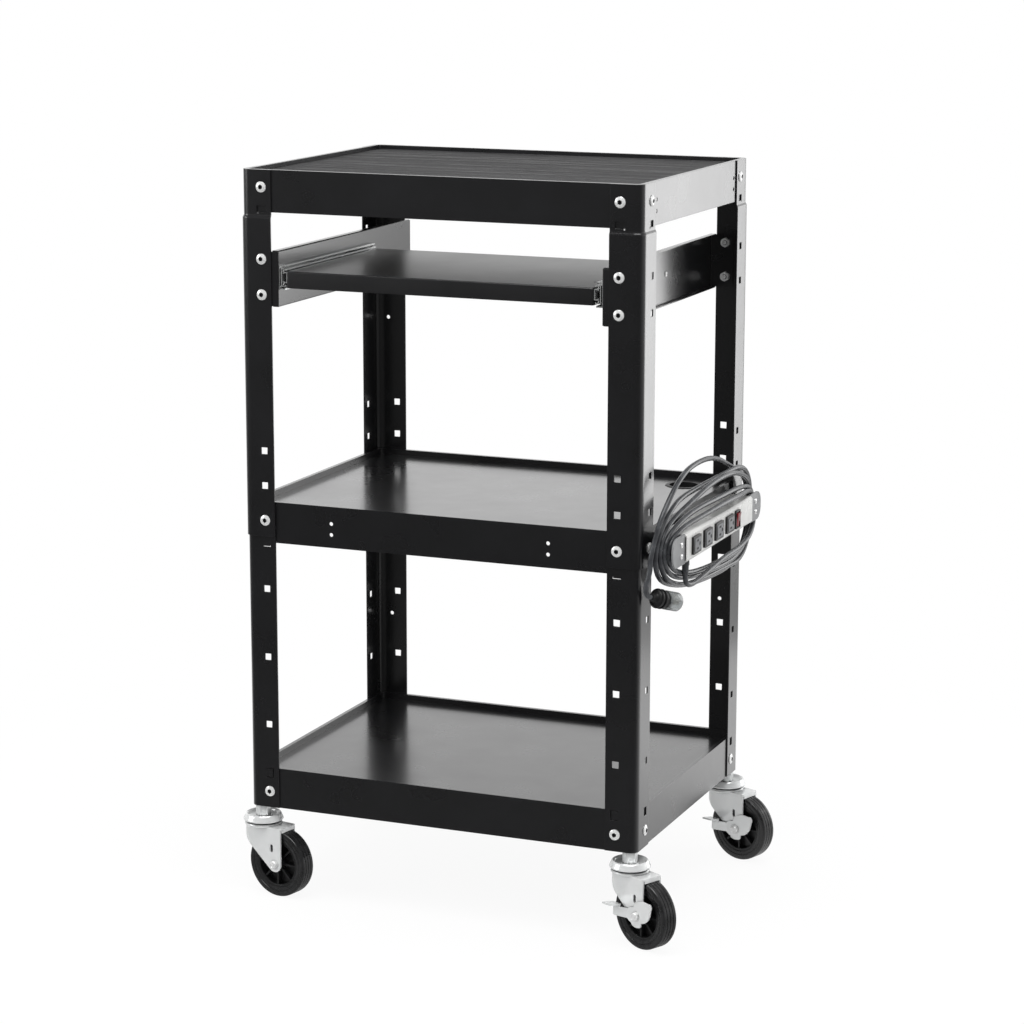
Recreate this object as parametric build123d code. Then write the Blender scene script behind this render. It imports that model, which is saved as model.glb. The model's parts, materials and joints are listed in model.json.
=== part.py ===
from build123d import *
import math
import os

os.makedirs("parts", exist_ok=True)

# All sizes are in millimetres. X runs to the right, Y to the back and Z up, seen from the front.

# Round things are drawn with flat sides: how many the wheels, the discs and the small ones have
WHEEL_SIDES = 32
DISC_SIDES = 16
BOLT_SIDES = 8
SMALL_SIDES = 8

# Frame: width and depth over the outer faces of the lower posts
CART_WIDTH = 603.0
CART_DEPTH = 455.0
POST_SHEET = 1.9
FRONT_FLANGE = 47.0
SIDE_FLANGE = 51.0
POST_BEND_R = 12.0
POST_FIT = 0.5
UPPER_POST_LENGTH = 527.3
UPPER_POST_LAP = 48.5
JOGGLE_HEIGHT = 6.0
JOGGLE_DROP = 72.3

# Holes in the posts: square, one column on each flange
HOLE_PITCH = 50.8
SQUARE_HOLE = 10.0
FRONT_COLUMN = 32.0
SIDE_COLUMN = 36.0
POST_END_HOLE = 24.5
LOWER_POST_END = 24.6
LOWER_HOLES = 5
STEPS_BETWEEN_LOWER_HOLES = 2
LAP_HOLES = 3
BRACKET_HOLE_STEPS = (2, 3)

# Small round holes in the back posts: distance from the corner, and height above the posts' foot
SMALL_HOLE_R = 3.0
RIGHT_SMALL_HOLE = (33.0, 265.0)
LEFT_SMALL_HOLE = (22.0, 191.0)
UPPER_SMALL_HOLE = (18.0, 666.0)

# Lanced tabs in the posts
TAB_WIDTH = 11.5
TAB_LENGTH = 10.0
TAB_SLIT = 1.6
FLAT_TAB_RISE = 55.5

# Shelves: folded trays with a hemmed rim round a sunk deck
SHELF_SHEET = 1.2
SHELF_HEIGHT = 60.0
RIM_WIDTH = 6.0
DECK_DROP = 9.0
SHELF_CORNER_FIT = 0.5
MIDDLE_HOLE_RISE = 32.9
ACCESSORY_GAP = 16.0
ACCESSORY_HOLE_R = 2.8
ACCESSORY_RISE = 27.0
GROMMET_HOLE_R = 24.0
GROMMET_FROM_RIGHT = 71.0
GROMMET_FROM_BACK = 65.0
GROMMET_WALL = 2.5
GROMMET_LIP = 3.5
GROMMET_FLANGE = 1.6
GROMMET_SKIRT = 3.0
GROMMET_SEAT = 0.5

# Ribbed mat on the top shelf
MAT_BASE = 1.6
MAT_RIB = 1.4
MAT_PITCH = 13.0
MAT_RIB_WIDTH = 6.5
MAT_GAP = 1.0

# Bolts with a low head and a square neck, and their nuts
BOLT_HEAD_R = 7.75
BOLT_FACE_R = 5.6
BOLT_HEAD_HEIGHT = 3.2
NECK_GAP = 0.1
NUT_ACROSS = 13.0
NUT_HEIGHT = 6.0

# Brackets that carry the keyboard tray
BRACKET_SHEET = 1.5
BRACKET_INSET = 57.0
BRACKET_FLANGE = 22.0
BRACKET_END_WIDTH = 37.0
BRACKET_RELIEF = 7.0
BRACKET_BOLT_RISE = 17.0
BRACKET_BOLT_DROP = 12.2

# Ball slides, three nested rails on each side
SLIDE_LENGTH = 300.0
SLIDE_FRONT = 3.0
SLIDE_HEIGHT = 35.0
SLIDE_WIDTH = 12.7
SLIDE_RISE = 25.0
RAIL_SHEET = 1.2
RAIL_BALL_GAP = 3.7
RAIL_LIP = 2.4
RETAINER_GAP = 0.3
RETAINER_LENGTH = 70.0
RETAINER_WIDTH = 2.4
SLIDE_SCREW_PLACES = (25.0, 253.0)
SCREW_HEAD_R = 4.0
SCREW_HEAD_HEIGHT = 2.0

# Keyboard tray
TRAY_SHEET = 1.2
TRAY_DEPTH = 303.0
TRAY_APRON = 24.0
TRAY_TOP_DROP = 8.0
TRAY_HOLE_R = 2.0
TRAY_HOLE_FROM_RIGHT = 20.0
TRAY_HOLE_FROM_FRONT = 60.0

# Casters
WHEEL_DIAMETER = 100.0
TREAD_WIDTH = 25.0
TYRE_DEPTH = 14.0
TREAD_CHAMFER = 2.5
BEAD_SLOPE = 6.3
TRAIL = 33.0
STEM_INSET = 13.5
STEM_R = 5.5
STEM_HEX = 19.0
HEX_HEIGHT = 16.0
UPPER_RACE_R = 29.5
UPPER_RACE_HEIGHT = 7.4
RACE_BOWL_R = 19.0
RACE_BOWL_DEPTH = 4.4
RACE_GAP = 0.4
LOWER_RACE_R = 27.5
LOWER_RACE_HEIGHT = 4.7
CROWN_SHEET = 2.5
WHEEL_GAP = 3.0
RIVET_R = 8.0
RIVET_HEIGHT = 4.0
RUNNING_GAP = 0.05
FORK_GAP = 2.5
FORK_SHEET = 2.5
LEG_END_R = 11.5
LEDGE_REACH = 46.0
SKIRT_DEPTH = 8.0
LEG_SLOT_WIDTH = 5.0
LEG_SLOT_LENGTH = 12.0
LEG_SLOT_RISE = 24.0
AXLE_R = 4.0
AXLE_NUT = 13.0
AXLE_NUT_HEIGHT = 6.3
AXLE_STUB = 1.5
HUB_R = 11.0
RIM_WALL = 4.0
CORE_INSET = 1.5
SPOKES = 8
SPOKE_SHEET = 2.6
HUB_GAP = 0.4
GUSSET_SHEET = 3.0
GUSSET_REACH = 43.0
GUSSET_SHORT = 12.0
STEM_NUT = 16.0
STEM_NUT_HEIGHT = 9.0
STEM_TIP = 3.0

# Trail direction of each caster, in degrees from +X towards +Y
HEADINGS = {
    "front_left": -11.8,
    "front_right": -26.5,
    "back_right": -18.6,
    "back_left": -15.0,
}
BRAKED = ("front_right", "back_right")

# Brake lever on the outside of a fork, round the axle
BRAKE_SHEET = 2.0
BRAKE_GAP = 0.3
BRAKE_DISC_R = 12.5
BRAKE_LOBE = (33.0, 24.0)
BRAKE_LOBE_R = 3.5
BRAKE_HEEL = (10.0, -15.0)
BRAKE_HEEL_R = 3.0
BRAKE_ARM_REACH = 30.0
BRAKE_ARM_HEIGHT = 13.0
PEDAL_REACH = 48.0
PEDAL_RISE = 11.0
PEDAL_WIDTH = 24.0

# Power strip on the right of the middle shelf
STRIP_HEIGHT = 40.0
STRIP_BACK = 3.0
STRIP_DEPTH = 40.0
STRIP_WALL = 1.6
STRIP_CHAMFER = 3.0
STRIP_SHIFT = -4.0
CAP_SHEET = 2.0
EAR_LENGTH = 50.0
EAR_HEIGHT = 42.0
EAR_CORNER_R = 18.0
EAR_SHEET = 2.5
EAR_SETBACK = 3.0
EAR_HOLE_INSET = 19.5
SOCKETS = 4
SOCKET_PITCH_SHARE = 0.1684
FIRST_SOCKET_SHARE = 0.1224
SOCKET_WIDTH = 33.0
SOCKET_HEIGHT = 25.0
SOCKET_PROUD = 4.0
SOCKET_DEPTH = 9.0
SOCKET_FIT = 0.1
SLOT_THICK = 2.4
SLOT_LENGTH = 8.0
SLOT_SPREAD = 6.35
SLOT_DEPTH = 6.0
GROUND_R = 2.6
GROUND_OFFSET = 9.0
SWITCH_SHARE = 0.2517
SWITCH_WIDTH = 15.0
SWITCH_HEIGHT = 22.4
SWITCH_WALL = 2.0
SWITCH_PROUD = 3.0
SWITCH_GAP = 0.4
ROCKER_TILT = 8.0
ROCKER_CREST = 4.2
ROCKER_SHOULDER = 2.6
ROCKER_ROOT = 5.0
ROCKER_ROOT_INSET = 2.2
STANDOFF_SHEET = 1.5
STANDOFF_WIDTH = 19.0
STANDOFF_HEIGHT = 30.0
STANDOFF_FIT = 0.5
PIN_R = 2.4
GLAND_R = 5.6
GLAND_HEIGHT = 6.0
GLAND_FROM_END = 14.0
GLAND_FROM_FRONT = 7.0
RELIEF_LENGTH = 14.0
RELIEF_START_R = 5.1
RELIEF_END_R = 4.5

# Cord wound round the two stand-off brackets. Its places are given out from the posts' right
# face, along the strip from the cart's middle, and up from the strip's middle.
CORD_R = 3.75
CORD_SIDES = 6
LOOPS = 4
WIND_START = (42.0, 85.0, -46.0)
BOTTOM_X = 36.0
BOTTOM_X_STEP = -4.8
BOTTOM_DROP = 48.0
BOTTOM_DROP_STEP = 10.4
BACK_X = 31.0
BACK_X_STEP = -4.6
BACK_CLEAR = 20.5
BACK_REACH_STEP = 7.6
TOP_X = 38.0
TOP_X_STEP = -6.25
TOP_Y = 20.0
TOP_Y_LEAN = -7.0
TOP_RISE = 37.0
TOP_RISE_STEP = 8.0
TOP_RISE_SWELL = 1.8
FRONT_X = 26.0
FRONT_X_STEP = -2.8
FRONT_CLEAR = 21.5
FRONT_REACH_STEP = 8.7
BACK_SHARE = 0.62
FRONT_SHARE_ABOVE = 0.56
FRONT_SHARE_BELOW = 0.46
GAP_STEP = 2.5
GAP_START = 6
ROUTE_SHARE = 0.45

# Plug on the end of the cord, and the clear cover over its blades
PLUG_WAY = (0.42, 0.86, -0.28)
PLUG_PLACE = (-1.0, 6.5, -57.0)
PLUG_NECK_R = 5.2
PLUG_NECK_LENGTH = 8.0
PLUG_SHOULDER_R = 7.0
PLUG_R = 12.0
PLUG_LENGTH = 33.0
PLUG_RING_R = 14.0
PLUG_RING = 3.0
PLUG_RINGS = 2
PLUG_RING_PITCH = 7.0
BLADE_LENGTH = 16.0
BLADE_WIDTH = 6.4
BLADE_SHEET = 1.6
BLADE_SPREAD = 6.35
PLUG_GROUND_R = 2.4
PLUG_GROUND_OFFSET = 7.0
COVER_WALL = 1.2
COVER_FIT = 0.2
COVER_LAP = 5.0
COVER_LENGTH = 24.0

# Places that follow from the sizes above
HALF_WIDTH = CART_WIDTH / 2
HALF_DEPTH = CART_DEPTH / 2
LAP_HOLE_RISE = POST_END_HOLE + (LOWER_HOLES - 1) * STEPS_BETWEEN_LOWER_HOLES * HOLE_PITCH
LOWER_POST_LENGTH = LAP_HOLE_RISE + LOWER_POST_END
ACCESSORY_SPACING = CART_DEPTH - 2 * (SIDE_FLANGE + STANDOFF_FIT) - STANDOFF_WIDTH
STRIP_LENGTH = ACCESSORY_SPACING - 2 * EAR_HOLE_INSET
BRACKET_HEIGHT = BRACKET_BOLT_RISE + HOLE_PITCH + BRACKET_BOLT_DROP
WHEEL_R = WHEEL_DIAMETER / 2
CROWN_LOW = WHEEL_DIAMETER + WHEEL_GAP
LOWER_RACE_LOW = CROWN_LOW + CROWN_SHEET
UPPER_RACE_LOW = LOWER_RACE_LOW + LOWER_RACE_HEIGHT + RACE_GAP
HEX_LOW = UPPER_RACE_LOW + UPPER_RACE_HEIGHT
POST_FOOT = HEX_LOW + HEX_HEIGHT
LAP_HOLE = POST_FOOT + LAP_HOLE_RISE
UPPER_FOOT = POST_FOOT + LOWER_POST_LENGTH - UPPER_POST_LAP
POST_TOP = UPPER_FOOT + UPPER_POST_LENGTH
TOP_HOLE = POST_TOP - POST_END_HOLE
BOTTOM_SHELF = POST_FOOT
MIDDLE_SHELF = LAP_HOLE - MIDDLE_HOLE_RISE
TOP_SHELF = POST_TOP - SHELF_HEIGHT
BRACKET_LOW = TOP_HOLE - BRACKET_HOLE_STEPS[1] * HOLE_PITCH - BRACKET_BOLT_RISE
SLIDE_LOW = BRACKET_LOW + SLIDE_RISE
TRAY_TOP = SLIDE_LOW + SLIDE_HEIGHT - TRAY_TOP_DROP
STRIP_MIDDLE = MIDDLE_SHELF + ACCESSORY_RISE
EAR_BACK = STRIP_BACK + STRIP_DEPTH - EAR_SETBACK - EAR_SHEET
SHELF_FACE = POST_SHEET
SHELF_INNER = POST_SHEET + SHELF_SHEET
SHELF_CORNER_R = POST_BEND_R - POST_SHEET + SHELF_CORNER_FIT
CORNERS = {
    "front_left": (-1, -1),
    "front_right": (1, -1),
    "back_left": (-1, 1),
    "back_right": (1, 1),
}
NODES = {}


def keep(name, *shapes):
    """Put every solid of the shapes in one named node."""
    found = NODES.setdefault(name, [])
    for shape in shapes:
        found.extend(shape.solids())


def block(low, high):
    """A box between two opposite corners."""
    size = [b - a for a, b in zip(low, high)]
    middle = [(a + b) / 2 for a, b in zip(low, high)]
    return Pos(*middle) * Box(*size)


def rod(radius, low, high, sides=DISC_SIDES):
    """A round bar on the Z axis between two heights, its flats inside the radius."""
    return extrude(Pos(0, 0, low) * RegularPolygon(radius, sides), amount=high - low)


def bore(radius, low, high, sides=SMALL_SIDES):
    """A cutter for a round hole on the Z axis, its flats outside the radius."""
    face = RegularPolygon(radius, sides, major_radius=False)
    return extrude(Pos(0, 0, low) * face, amount=high - low)


def hexagon(across, low, high):
    """A hexagonal bar on the Z axis, measured across its flats."""
    face = RegularPolygon(across / 2, 6, major_radius=False)
    return extrude(Pos(0, 0, low) * face, amount=high - low)


def ring_corners(radius, height, sides):
    """The corners of a regular polygon round the Z axis at a height."""
    angles = [2 * math.pi * i / sides for i in range(sides)]
    return [Vector(radius * math.cos(a), radius * math.sin(a), height) for a in angles]


def ring_wire(radius, height, sides):
    """A regular polygon round the Z axis at a height."""
    return Wire.make_polygon(ring_corners(radius, height, sides), close=True)


def turned(points, sides=DISC_SIDES):
    """A turned solid about Z from (radius, height) points, with flat sides.

    A level run gives one flat ring or disc, and any other run one flat face on each side.
    """
    faces = []
    for (r, z), (next_r, next_z) in zip(points, points[1:] + points[:1]):
        if r == 0 and next_r == 0:
            continue
        if z == next_z:
            holes = [ring_wire(min(r, next_r), z, sides)] if min(r, next_r) > 0 else []
            faces.append(Face(ring_wire(max(r, next_r), z, sides), holes))
            continue
        low = ring_corners(r, z, sides)
        high = ring_corners(next_r, next_z, sides)
        for i in range(sides):
            j = (i + 1) % sides
            faces.append(Face(Wire.make_polygon([low[i], low[j], high[j], high[i]], close=True)))
    solid = Solid(Shell(faces))
    return solid if solid.volume > 0 else Solid(solid.wrapped.Reversed())


def to_corner(shape, corner):
    """Take a shape drawn at the front left corner to one of the four corners."""
    side, end = CORNERS[corner]
    if side > 0:
        shape = mirror(shape, Plane.YZ)
    if end > 0:
        shape = mirror(shape, Plane.XZ)
    return Pos(side * HALF_WIDTH, end * HALF_DEPTH, 0) * shape


def angle_section(plane, radius, height):
    """The L section of a post: its two outer planes and its bend, at one height."""
    inner = plane + POST_SHEET
    bend = plane + radius
    edges = [
        Polyline((bend, inner), (FRONT_FLANGE, inner), (FRONT_FLANGE, plane), (bend, plane)),
        CenterArc((bend, bend), radius, 180, 90),
        Polyline((plane, bend), (plane, SIDE_FLANGE), (inner, SIDE_FLANGE), (inner, bend)),
        CenterArc((bend, bend), radius - POST_SHEET, 180, 90),
    ]
    return Pos(0, 0, height) * make_face(edges)


def front_cutter(height, width, tall, middle=FRONT_COLUMN):
    """A block that cuts the front flange of a post, centred on the hole column."""
    reach = POST_SHEET * 2
    low = (middle - width / 2, -reach, height - tall / 2)
    high = (middle + width / 2, reach, height + tall / 2)
    return block(low, high)


def side_cutter(height, width, tall):
    """A block that cuts the side flange of a post, centred on the hole column."""
    reach = POST_SHEET * 2
    low = (-reach, SIDE_COLUMN - width / 2, height - tall / 2)
    high = (reach, SIDE_COLUMN + width / 2, height + tall / 2)
    return block(low, high)


def square_holes(heights):
    """Square holes in both flanges at each height."""
    cutters = []
    for height in heights:
        cutters.append(front_cutter(height, SQUARE_HOLE, SQUARE_HOLE))
        cutters.append(side_cutter(height, SQUARE_HOLE, SQUARE_HOLE))
    return cutters


def small_hole(place):
    """A small round hole through the front flange."""
    middle, rise = place
    spot = Pos(middle, 0, POST_FOOT + rise) * Rot(90, 0, 0)
    return spot * bore(SMALL_HOLE_R, -2 * POST_SHEET, 2 * POST_SHEET)


def flat_tab_slits(height):
    """Three slits round a tab that is still flat, hinged on the side away from the bend."""
    left = FRONT_COLUMN - TAB_WIDTH / 2
    upright = front_cutter(height, TAB_SLIT, TAB_LENGTH, left)
    slits = [upright]
    for end in (-1, 1):
        level = height + end * (TAB_LENGTH - TAB_SLIT) / 2
        slits.append(front_cutter(level, TAB_WIDTH, TAB_SLIT))
    return slits


def bent_tab(post, height, plane):
    """A tab lanced from the front flange and bent inwards, with its top at the given height."""
    middle = height - TAB_LENGTH / 2
    post = post - front_cutter(middle, TAB_WIDTH + 2 * TAB_SLIT, TAB_LENGTH)
    low = (FRONT_COLUMN - TAB_WIDTH / 2, plane, height - POST_SHEET)
    high = (FRONT_COLUMN + TAB_WIDTH / 2, plane + TAB_LENGTH, height)
    root_low = (low[0], plane, height - POST_SHEET)
    root_high = (high[0], plane + POST_SHEET, height + TAB_SLIT)
    return post + block(low, high) + block(root_low, root_high)


def lower_post():
    """A lower post at the front left corner."""
    section = angle_section(0, POST_BEND_R, POST_FOOT)
    post = extrude(section, amount=LOWER_POST_LENGTH)
    step = STEPS_BETWEEN_LOWER_HOLES * HOLE_PITCH
    heights = [POST_FOOT + POST_END_HOLE + step * i for i in range(LOWER_HOLES)]
    post = post - square_holes(heights) - flat_tab_slits(POST_FOOT + FLAT_TAB_RISE)
    return bent_tab(post, MIDDLE_SHELF, 0)


def upper_post():
    """An upper post, outside the lower one, with a joggle that brings its top in line with it."""
    inner_r = POST_BEND_R - POST_FIT
    outer_r = inner_r + POST_SHEET
    joggle = POST_TOP - JOGGLE_DROP
    wide = angle_section(-POST_SHEET, outer_r, UPPER_FOOT)
    body = extrude(wide, amount=joggle - UPPER_FOOT)
    step = loft(
        [
            angle_section(-POST_SHEET, outer_r, joggle),
            angle_section(0, POST_BEND_R, joggle + JOGGLE_HEIGHT),
        ],
        ruled=True,
    )
    narrow = angle_section(0, POST_BEND_R, joggle + JOGGLE_HEIGHT)
    head = extrude(narrow, amount=JOGGLE_DROP - JOGGLE_HEIGHT)
    post = body + step + head
    heights = [LAP_HOLE + HOLE_PITCH * i for i in range(LAP_HOLES)]
    heights += [TOP_HOLE]
    heights += [TOP_HOLE - HOLE_PITCH * steps for steps in BRACKET_HOLE_STEPS]
    post = post - square_holes(heights)
    return bent_tab(post, TOP_SHELF, 0)


def make_posts():
    """The eight posts, each with the small holes that its corner has."""
    lower = lower_post()
    upper = upper_post()
    for corner in CORNERS:
        low_post = lower
        high_post = upper
        if corner == "back_right":
            low_post = low_post - small_hole(RIGHT_SMALL_HOLE)
        if corner == "back_left":
            low_post = low_post - small_hole(LEFT_SMALL_HOLE)
            high_post = high_post - small_hole(UPPER_SMALL_HOLE)
        keep("lower_post_" + corner, to_corner(low_post, corner))
        keep("upper_post_" + corner, to_corner(high_post, corner))


def plate(inset, low, high, radius):
    """A slab with rounded corners, inset on all sides from the posts' outer faces."""
    face = RectangleRounded(CART_WIDTH - 2 * inset, CART_DEPTH - 2 * inset, radius)
    return extrude(Pos(0, 0, low) * face, amount=high - low)


def shelf(low, bolt_height):
    """A folded tray: outer apron, hemmed rim, and a deck sunk below the rim."""
    top = low + SHELF_HEIGHT
    deck_top = top - DECK_DROP
    deck_low = deck_top - SHELF_SHEET
    hem_inset = SHELF_FACE + RIM_WIDTH
    inner_r = SHELF_CORNER_R - SHELF_SHEET
    hem_r = SHELF_CORNER_R - RIM_WIDTH
    body = plate(SHELF_FACE, low, top, SHELF_CORNER_R)
    body -= plate(SHELF_INNER, low, deck_low, inner_r)
    hem = plate(SHELF_INNER, deck_low, top - SHELF_SHEET, inner_r)
    hem -= plate(hem_inset - SHELF_SHEET, deck_low, top - SHELF_SHEET, hem_r + SHELF_SHEET)
    body -= hem
    body -= plate(hem_inset, deck_top, top, hem_r)
    cutters = square_holes([bolt_height])
    for corner in CORNERS:
        body -= [to_corner(cutter, corner) for cutter in cutters]
    return body


def accessory_places():
    """The pairs of small holes along an apron: distance from its middle and from the pair's centre."""
    for along in (-1, 1):
        for up in (-1, 1):
            yield along * ACCESSORY_SPACING / 2, up * ACCESSORY_GAP / 2


def side_holes(middle, hole):
    """Cutters for the small holes in a right apron."""
    cutter = Rot(0, 90, 0) * hole
    return [Pos(HALF_WIDTH - SHELF_FACE, y, middle + z) * cutter for y, z in accessory_places()]


def front_holes(middle, hole):
    """Cutters for the small holes in a front apron."""
    cutter = Rot(90, 0, 0) * hole
    return [Pos(x, SHELF_FACE - HALF_DEPTH, middle + z) * cutter for x, z in accessory_places()]


def grommet_place(height):
    """The middle of the cable hole at a height."""
    return Pos(HALF_WIDTH - GROMMET_FROM_RIGHT, HALF_DEPTH - GROMMET_FROM_BACK, height)


def make_shelves():
    """The three shelves, the cable grommet and the gusset plates that carry the casters."""
    bottom = shelf(BOTTOM_SHELF, POST_FOOT + POST_END_HOLE)
    middle = shelf(MIDDLE_SHELF, LAP_HOLE)
    top = shelf(TOP_SHELF, TOP_HOLE)
    deck = MIDDLE_SHELF + SHELF_HEIGHT - DECK_DROP
    lip = GROMMET_HOLE_R + GROMMET_LIP
    seat = GROMMET_SEAT
    middle -= grommet_place(deck) * bore(GROMMET_HOLE_R, -2 * SHELF_SHEET, 0, DISC_SIDES)
    middle -= grommet_place(deck) * bore(lip + NECK_GAP, -seat, SHELF_SHEET, DISC_SIDES)
    screwed = bore(ACCESSORY_HOLE_R, -2 * POST_SHEET, 2 * POST_SHEET)
    free = Cylinder(ACCESSORY_HOLE_R, 4 * POST_SHEET)
    middle -= side_holes(MIDDLE_SHELF + ACCESSORY_RISE, screwed)
    middle -= front_holes(MIDDLE_SHELF + ACCESSORY_RISE, free)
    top -= side_holes(TOP_SHELF + ACCESSORY_RISE, free)
    keep("bottom_shelf", bottom)
    keep("middle_shelf", middle)
    keep("top_shelf", top)

    neck = GROMMET_HOLE_R - NECK_GAP
    low = -SHELF_SHEET - GROMMET_SKIRT
    top_z = GROMMET_FLANGE - seat
    points = [
        (neck - GROMMET_WALL, low),
        (neck, low),
        (neck, -seat),
        (lip, -seat),
        (lip - GROMMET_FLANGE, top_z),
        (neck - GROMMET_WALL, top_z),
    ]
    keep("cable_grommet", grommet_place(deck) * turned(points))

    inner = SHELF_INNER
    bevel = inner + SHELF_CORNER_R - SHELF_SHEET
    outline = Polyline(
        (bevel, inner),
        (GUSSET_REACH, inner),
        (GUSSET_REACH, GUSSET_SHORT),
        (GUSSET_SHORT, GUSSET_REACH),
        (inner, GUSSET_REACH),
        (inner, bevel),
        close=True,
    )
    gusset = extrude(Pos(0, 0, POST_FOOT) * make_face(outline), amount=GUSSET_SHEET)
    hole = Pos(STEM_INSET, STEM_INSET, 0) * bore(STEM_R + RUNNING_GAP, 0, POST_FOOT * 2)
    gusset -= hole
    for corner in CORNERS:
        keep("corner_gussets", to_corner(gusset, corner))


def make_mat():
    """The rubber mat on the top deck, with ribs that run from left to right."""
    deck = POST_TOP - DECK_DROP
    inset = SHELF_FACE + RIM_WIDTH + MAT_GAP
    half_x = HALF_WIDTH - inset
    half_y = HALF_DEPTH - inset
    ribs = int((2 * half_y - MAT_RIB_WIDTH) / MAT_PITCH)
    start = -ribs * MAT_PITCH / 2
    crest = deck + MAT_BASE + MAT_RIB
    points = [(-half_y, deck), (-half_y, deck + MAT_BASE)]
    for i in range(ribs + 1):
        y = start + i * MAT_PITCH
        points.append((y - MAT_RIB_WIDTH / 2, deck + MAT_BASE))
        points.append((y - MAT_RIB_WIDTH / 4, crest))
        points.append((y + MAT_RIB_WIDTH / 4, crest))
        points.append((y + MAT_RIB_WIDTH / 2, deck + MAT_BASE))
    points += [(half_y, deck + MAT_BASE), (half_y, deck)]
    section = Plane.YZ * make_face(Polyline(*points, close=True))
    ribbed = Pos(-half_x, 0, 0) * extrude(section, amount=2 * half_x)
    keep("top_mat", ribbed & plate(inset, deck, crest, SHELF_CORNER_R - RIM_WIDTH))


def bolt(grip):
    """A bolt that points up its own Z axis: the head above zero, the square neck below."""
    side = SQUARE_HOLE - 2 * NECK_GAP
    tall = BOLT_HEAD_HEIGHT
    head = turned([(0, 0), (BOLT_HEAD_R, 0), (BOLT_FACE_R, tall), (0, tall)], BOLT_SIDES)
    return head + block((-side / 2, -side / 2, -grip), (side / 2, side / 2, 0))


def nut(grip):
    """The nut at the inner end of a bolt."""
    return hexagon(NUT_ACROSS, -grip - NUT_HEIGHT, -grip)


def fasten(height, outer, inner, flanges):
    """Bolts and nuts through the flanges of the four posts at one height."""
    grip = inner - outer
    places = {
        "front": Pos(FRONT_COLUMN, outer, height) * Rot(90, 0, 0),
        "side": Pos(outer, SIDE_COLUMN, height) * Rot(0, -90, 0),
    }
    for corner in CORNERS:
        for flange in flanges:
            keep("frame_bolts", to_corner(places[flange] * bolt(grip), corner))
            keep("frame_nuts", to_corner(places[flange] * nut(grip), corner))


def make_fasteners():
    """The bolts of the three shelves and of the tray brackets, each with its nut."""
    both = ("front", "side")
    fasten(POST_FOOT + POST_END_HOLE, 0, SHELF_INNER, both)
    fasten(LAP_HOLE, -POST_SHEET, SHELF_INNER, both)
    fasten(TOP_HOLE, 0, SHELF_INNER, both)
    for steps in BRACKET_HOLE_STEPS:
        height = TOP_HOLE - HOLE_PITCH * steps
        fasten(height, -POST_SHEET, BRACKET_SHEET, ("front",))


def tray_bracket():
    """The left tray bracket: a pan with its flanges turned outwards, bolted to front and back."""
    face = BRACKET_INSET - HALF_WIDTH
    back = face - BRACKET_SHEET
    outer = face - BRACKET_FLANGE
    end_outer = face - BRACKET_END_WIDTH
    top = BRACKET_LOW + BRACKET_HEIGHT
    pan = block((back, -HALF_DEPTH, BRACKET_LOW), (face, HALF_DEPTH, top))
    inside = HALF_DEPTH - BRACKET_SHEET
    for low in (BRACKET_LOW, top - BRACKET_SHEET):
        pan += block((outer, -inside, low), (face, inside, low + BRACKET_SHEET))
    for end in (-1, 1):
        y = sorted((end * HALF_DEPTH, end * inside))
        low = BRACKET_LOW + BRACKET_RELIEF
        pan += block((end_outer, y[0], low), (face, y[1], top - BRACKET_RELIEF))
        reach = BRACKET_RELIEF / 2
        notch_y = sorted((end * (HALF_DEPTH + 1), end * (HALF_DEPTH - reach)))
        for edge in (BRACKET_LOW, top):
            z = (edge - reach, edge + reach)
            pan -= block((outer - 1, notch_y[0], z[0]), (face + 1, notch_y[1], z[1]))
    for steps in BRACKET_HOLE_STEPS:
        hole = front_cutter(TOP_HOLE - HOLE_PITCH * steps, SQUARE_HOLE, SQUARE_HOLE)
        pan -= [to_corner(hole, "front_left"), to_corner(hole, "back_left")]
    return pan


def rail_section(back, front, half_height, lip):
    """A C section of rail: the web at one side, two flanges, and lips at their free edges."""
    turn = 1 if front > back else -1
    web = back + turn * RAIL_SHEET
    inner = half_height - RAIL_SHEET
    points = [
        (back, -half_height),
        (front, -half_height),
        (front, -half_height + lip),
        (front - turn * RAIL_SHEET, -half_height + lip),
        (front - turn * RAIL_SHEET, -inner),
        (web, -inner),
    ]
    mirrored = [(x, -z) for x, z in reversed(points)]
    return make_face(Polyline(*points, *mirrored, close=True))


def rail(section, front, length):
    """A rail of the left slide, run back from its front end."""
    face = BRACKET_INSET - HALF_WIDTH
    middle = SLIDE_LOW + SLIDE_HEIGHT / 2
    solid = extrude(Plane.XZ * section, amount=-length)
    return Pos(face, front - HALF_DEPTH, middle) * solid


def both_sides(shape):
    """A shape and its mirror image on the right."""
    return shape, mirror(shape, Plane.YZ)


def screw(grip):
    """A small screw along Z: its head above zero and its shank below."""
    shank = PIN_R - NECK_GAP
    points = [
        (0, -grip),
        (shank, -grip),
        (shank, 0),
        (SCREW_HEAD_R, 0),
        (SCREW_HEAD_R - SCREW_HEAD_HEIGHT / 2, SCREW_HEAD_HEIGHT),
        (0, SCREW_HEAD_HEIGHT),
    ]
    return turned(points, SMALL_SIDES)


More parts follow.
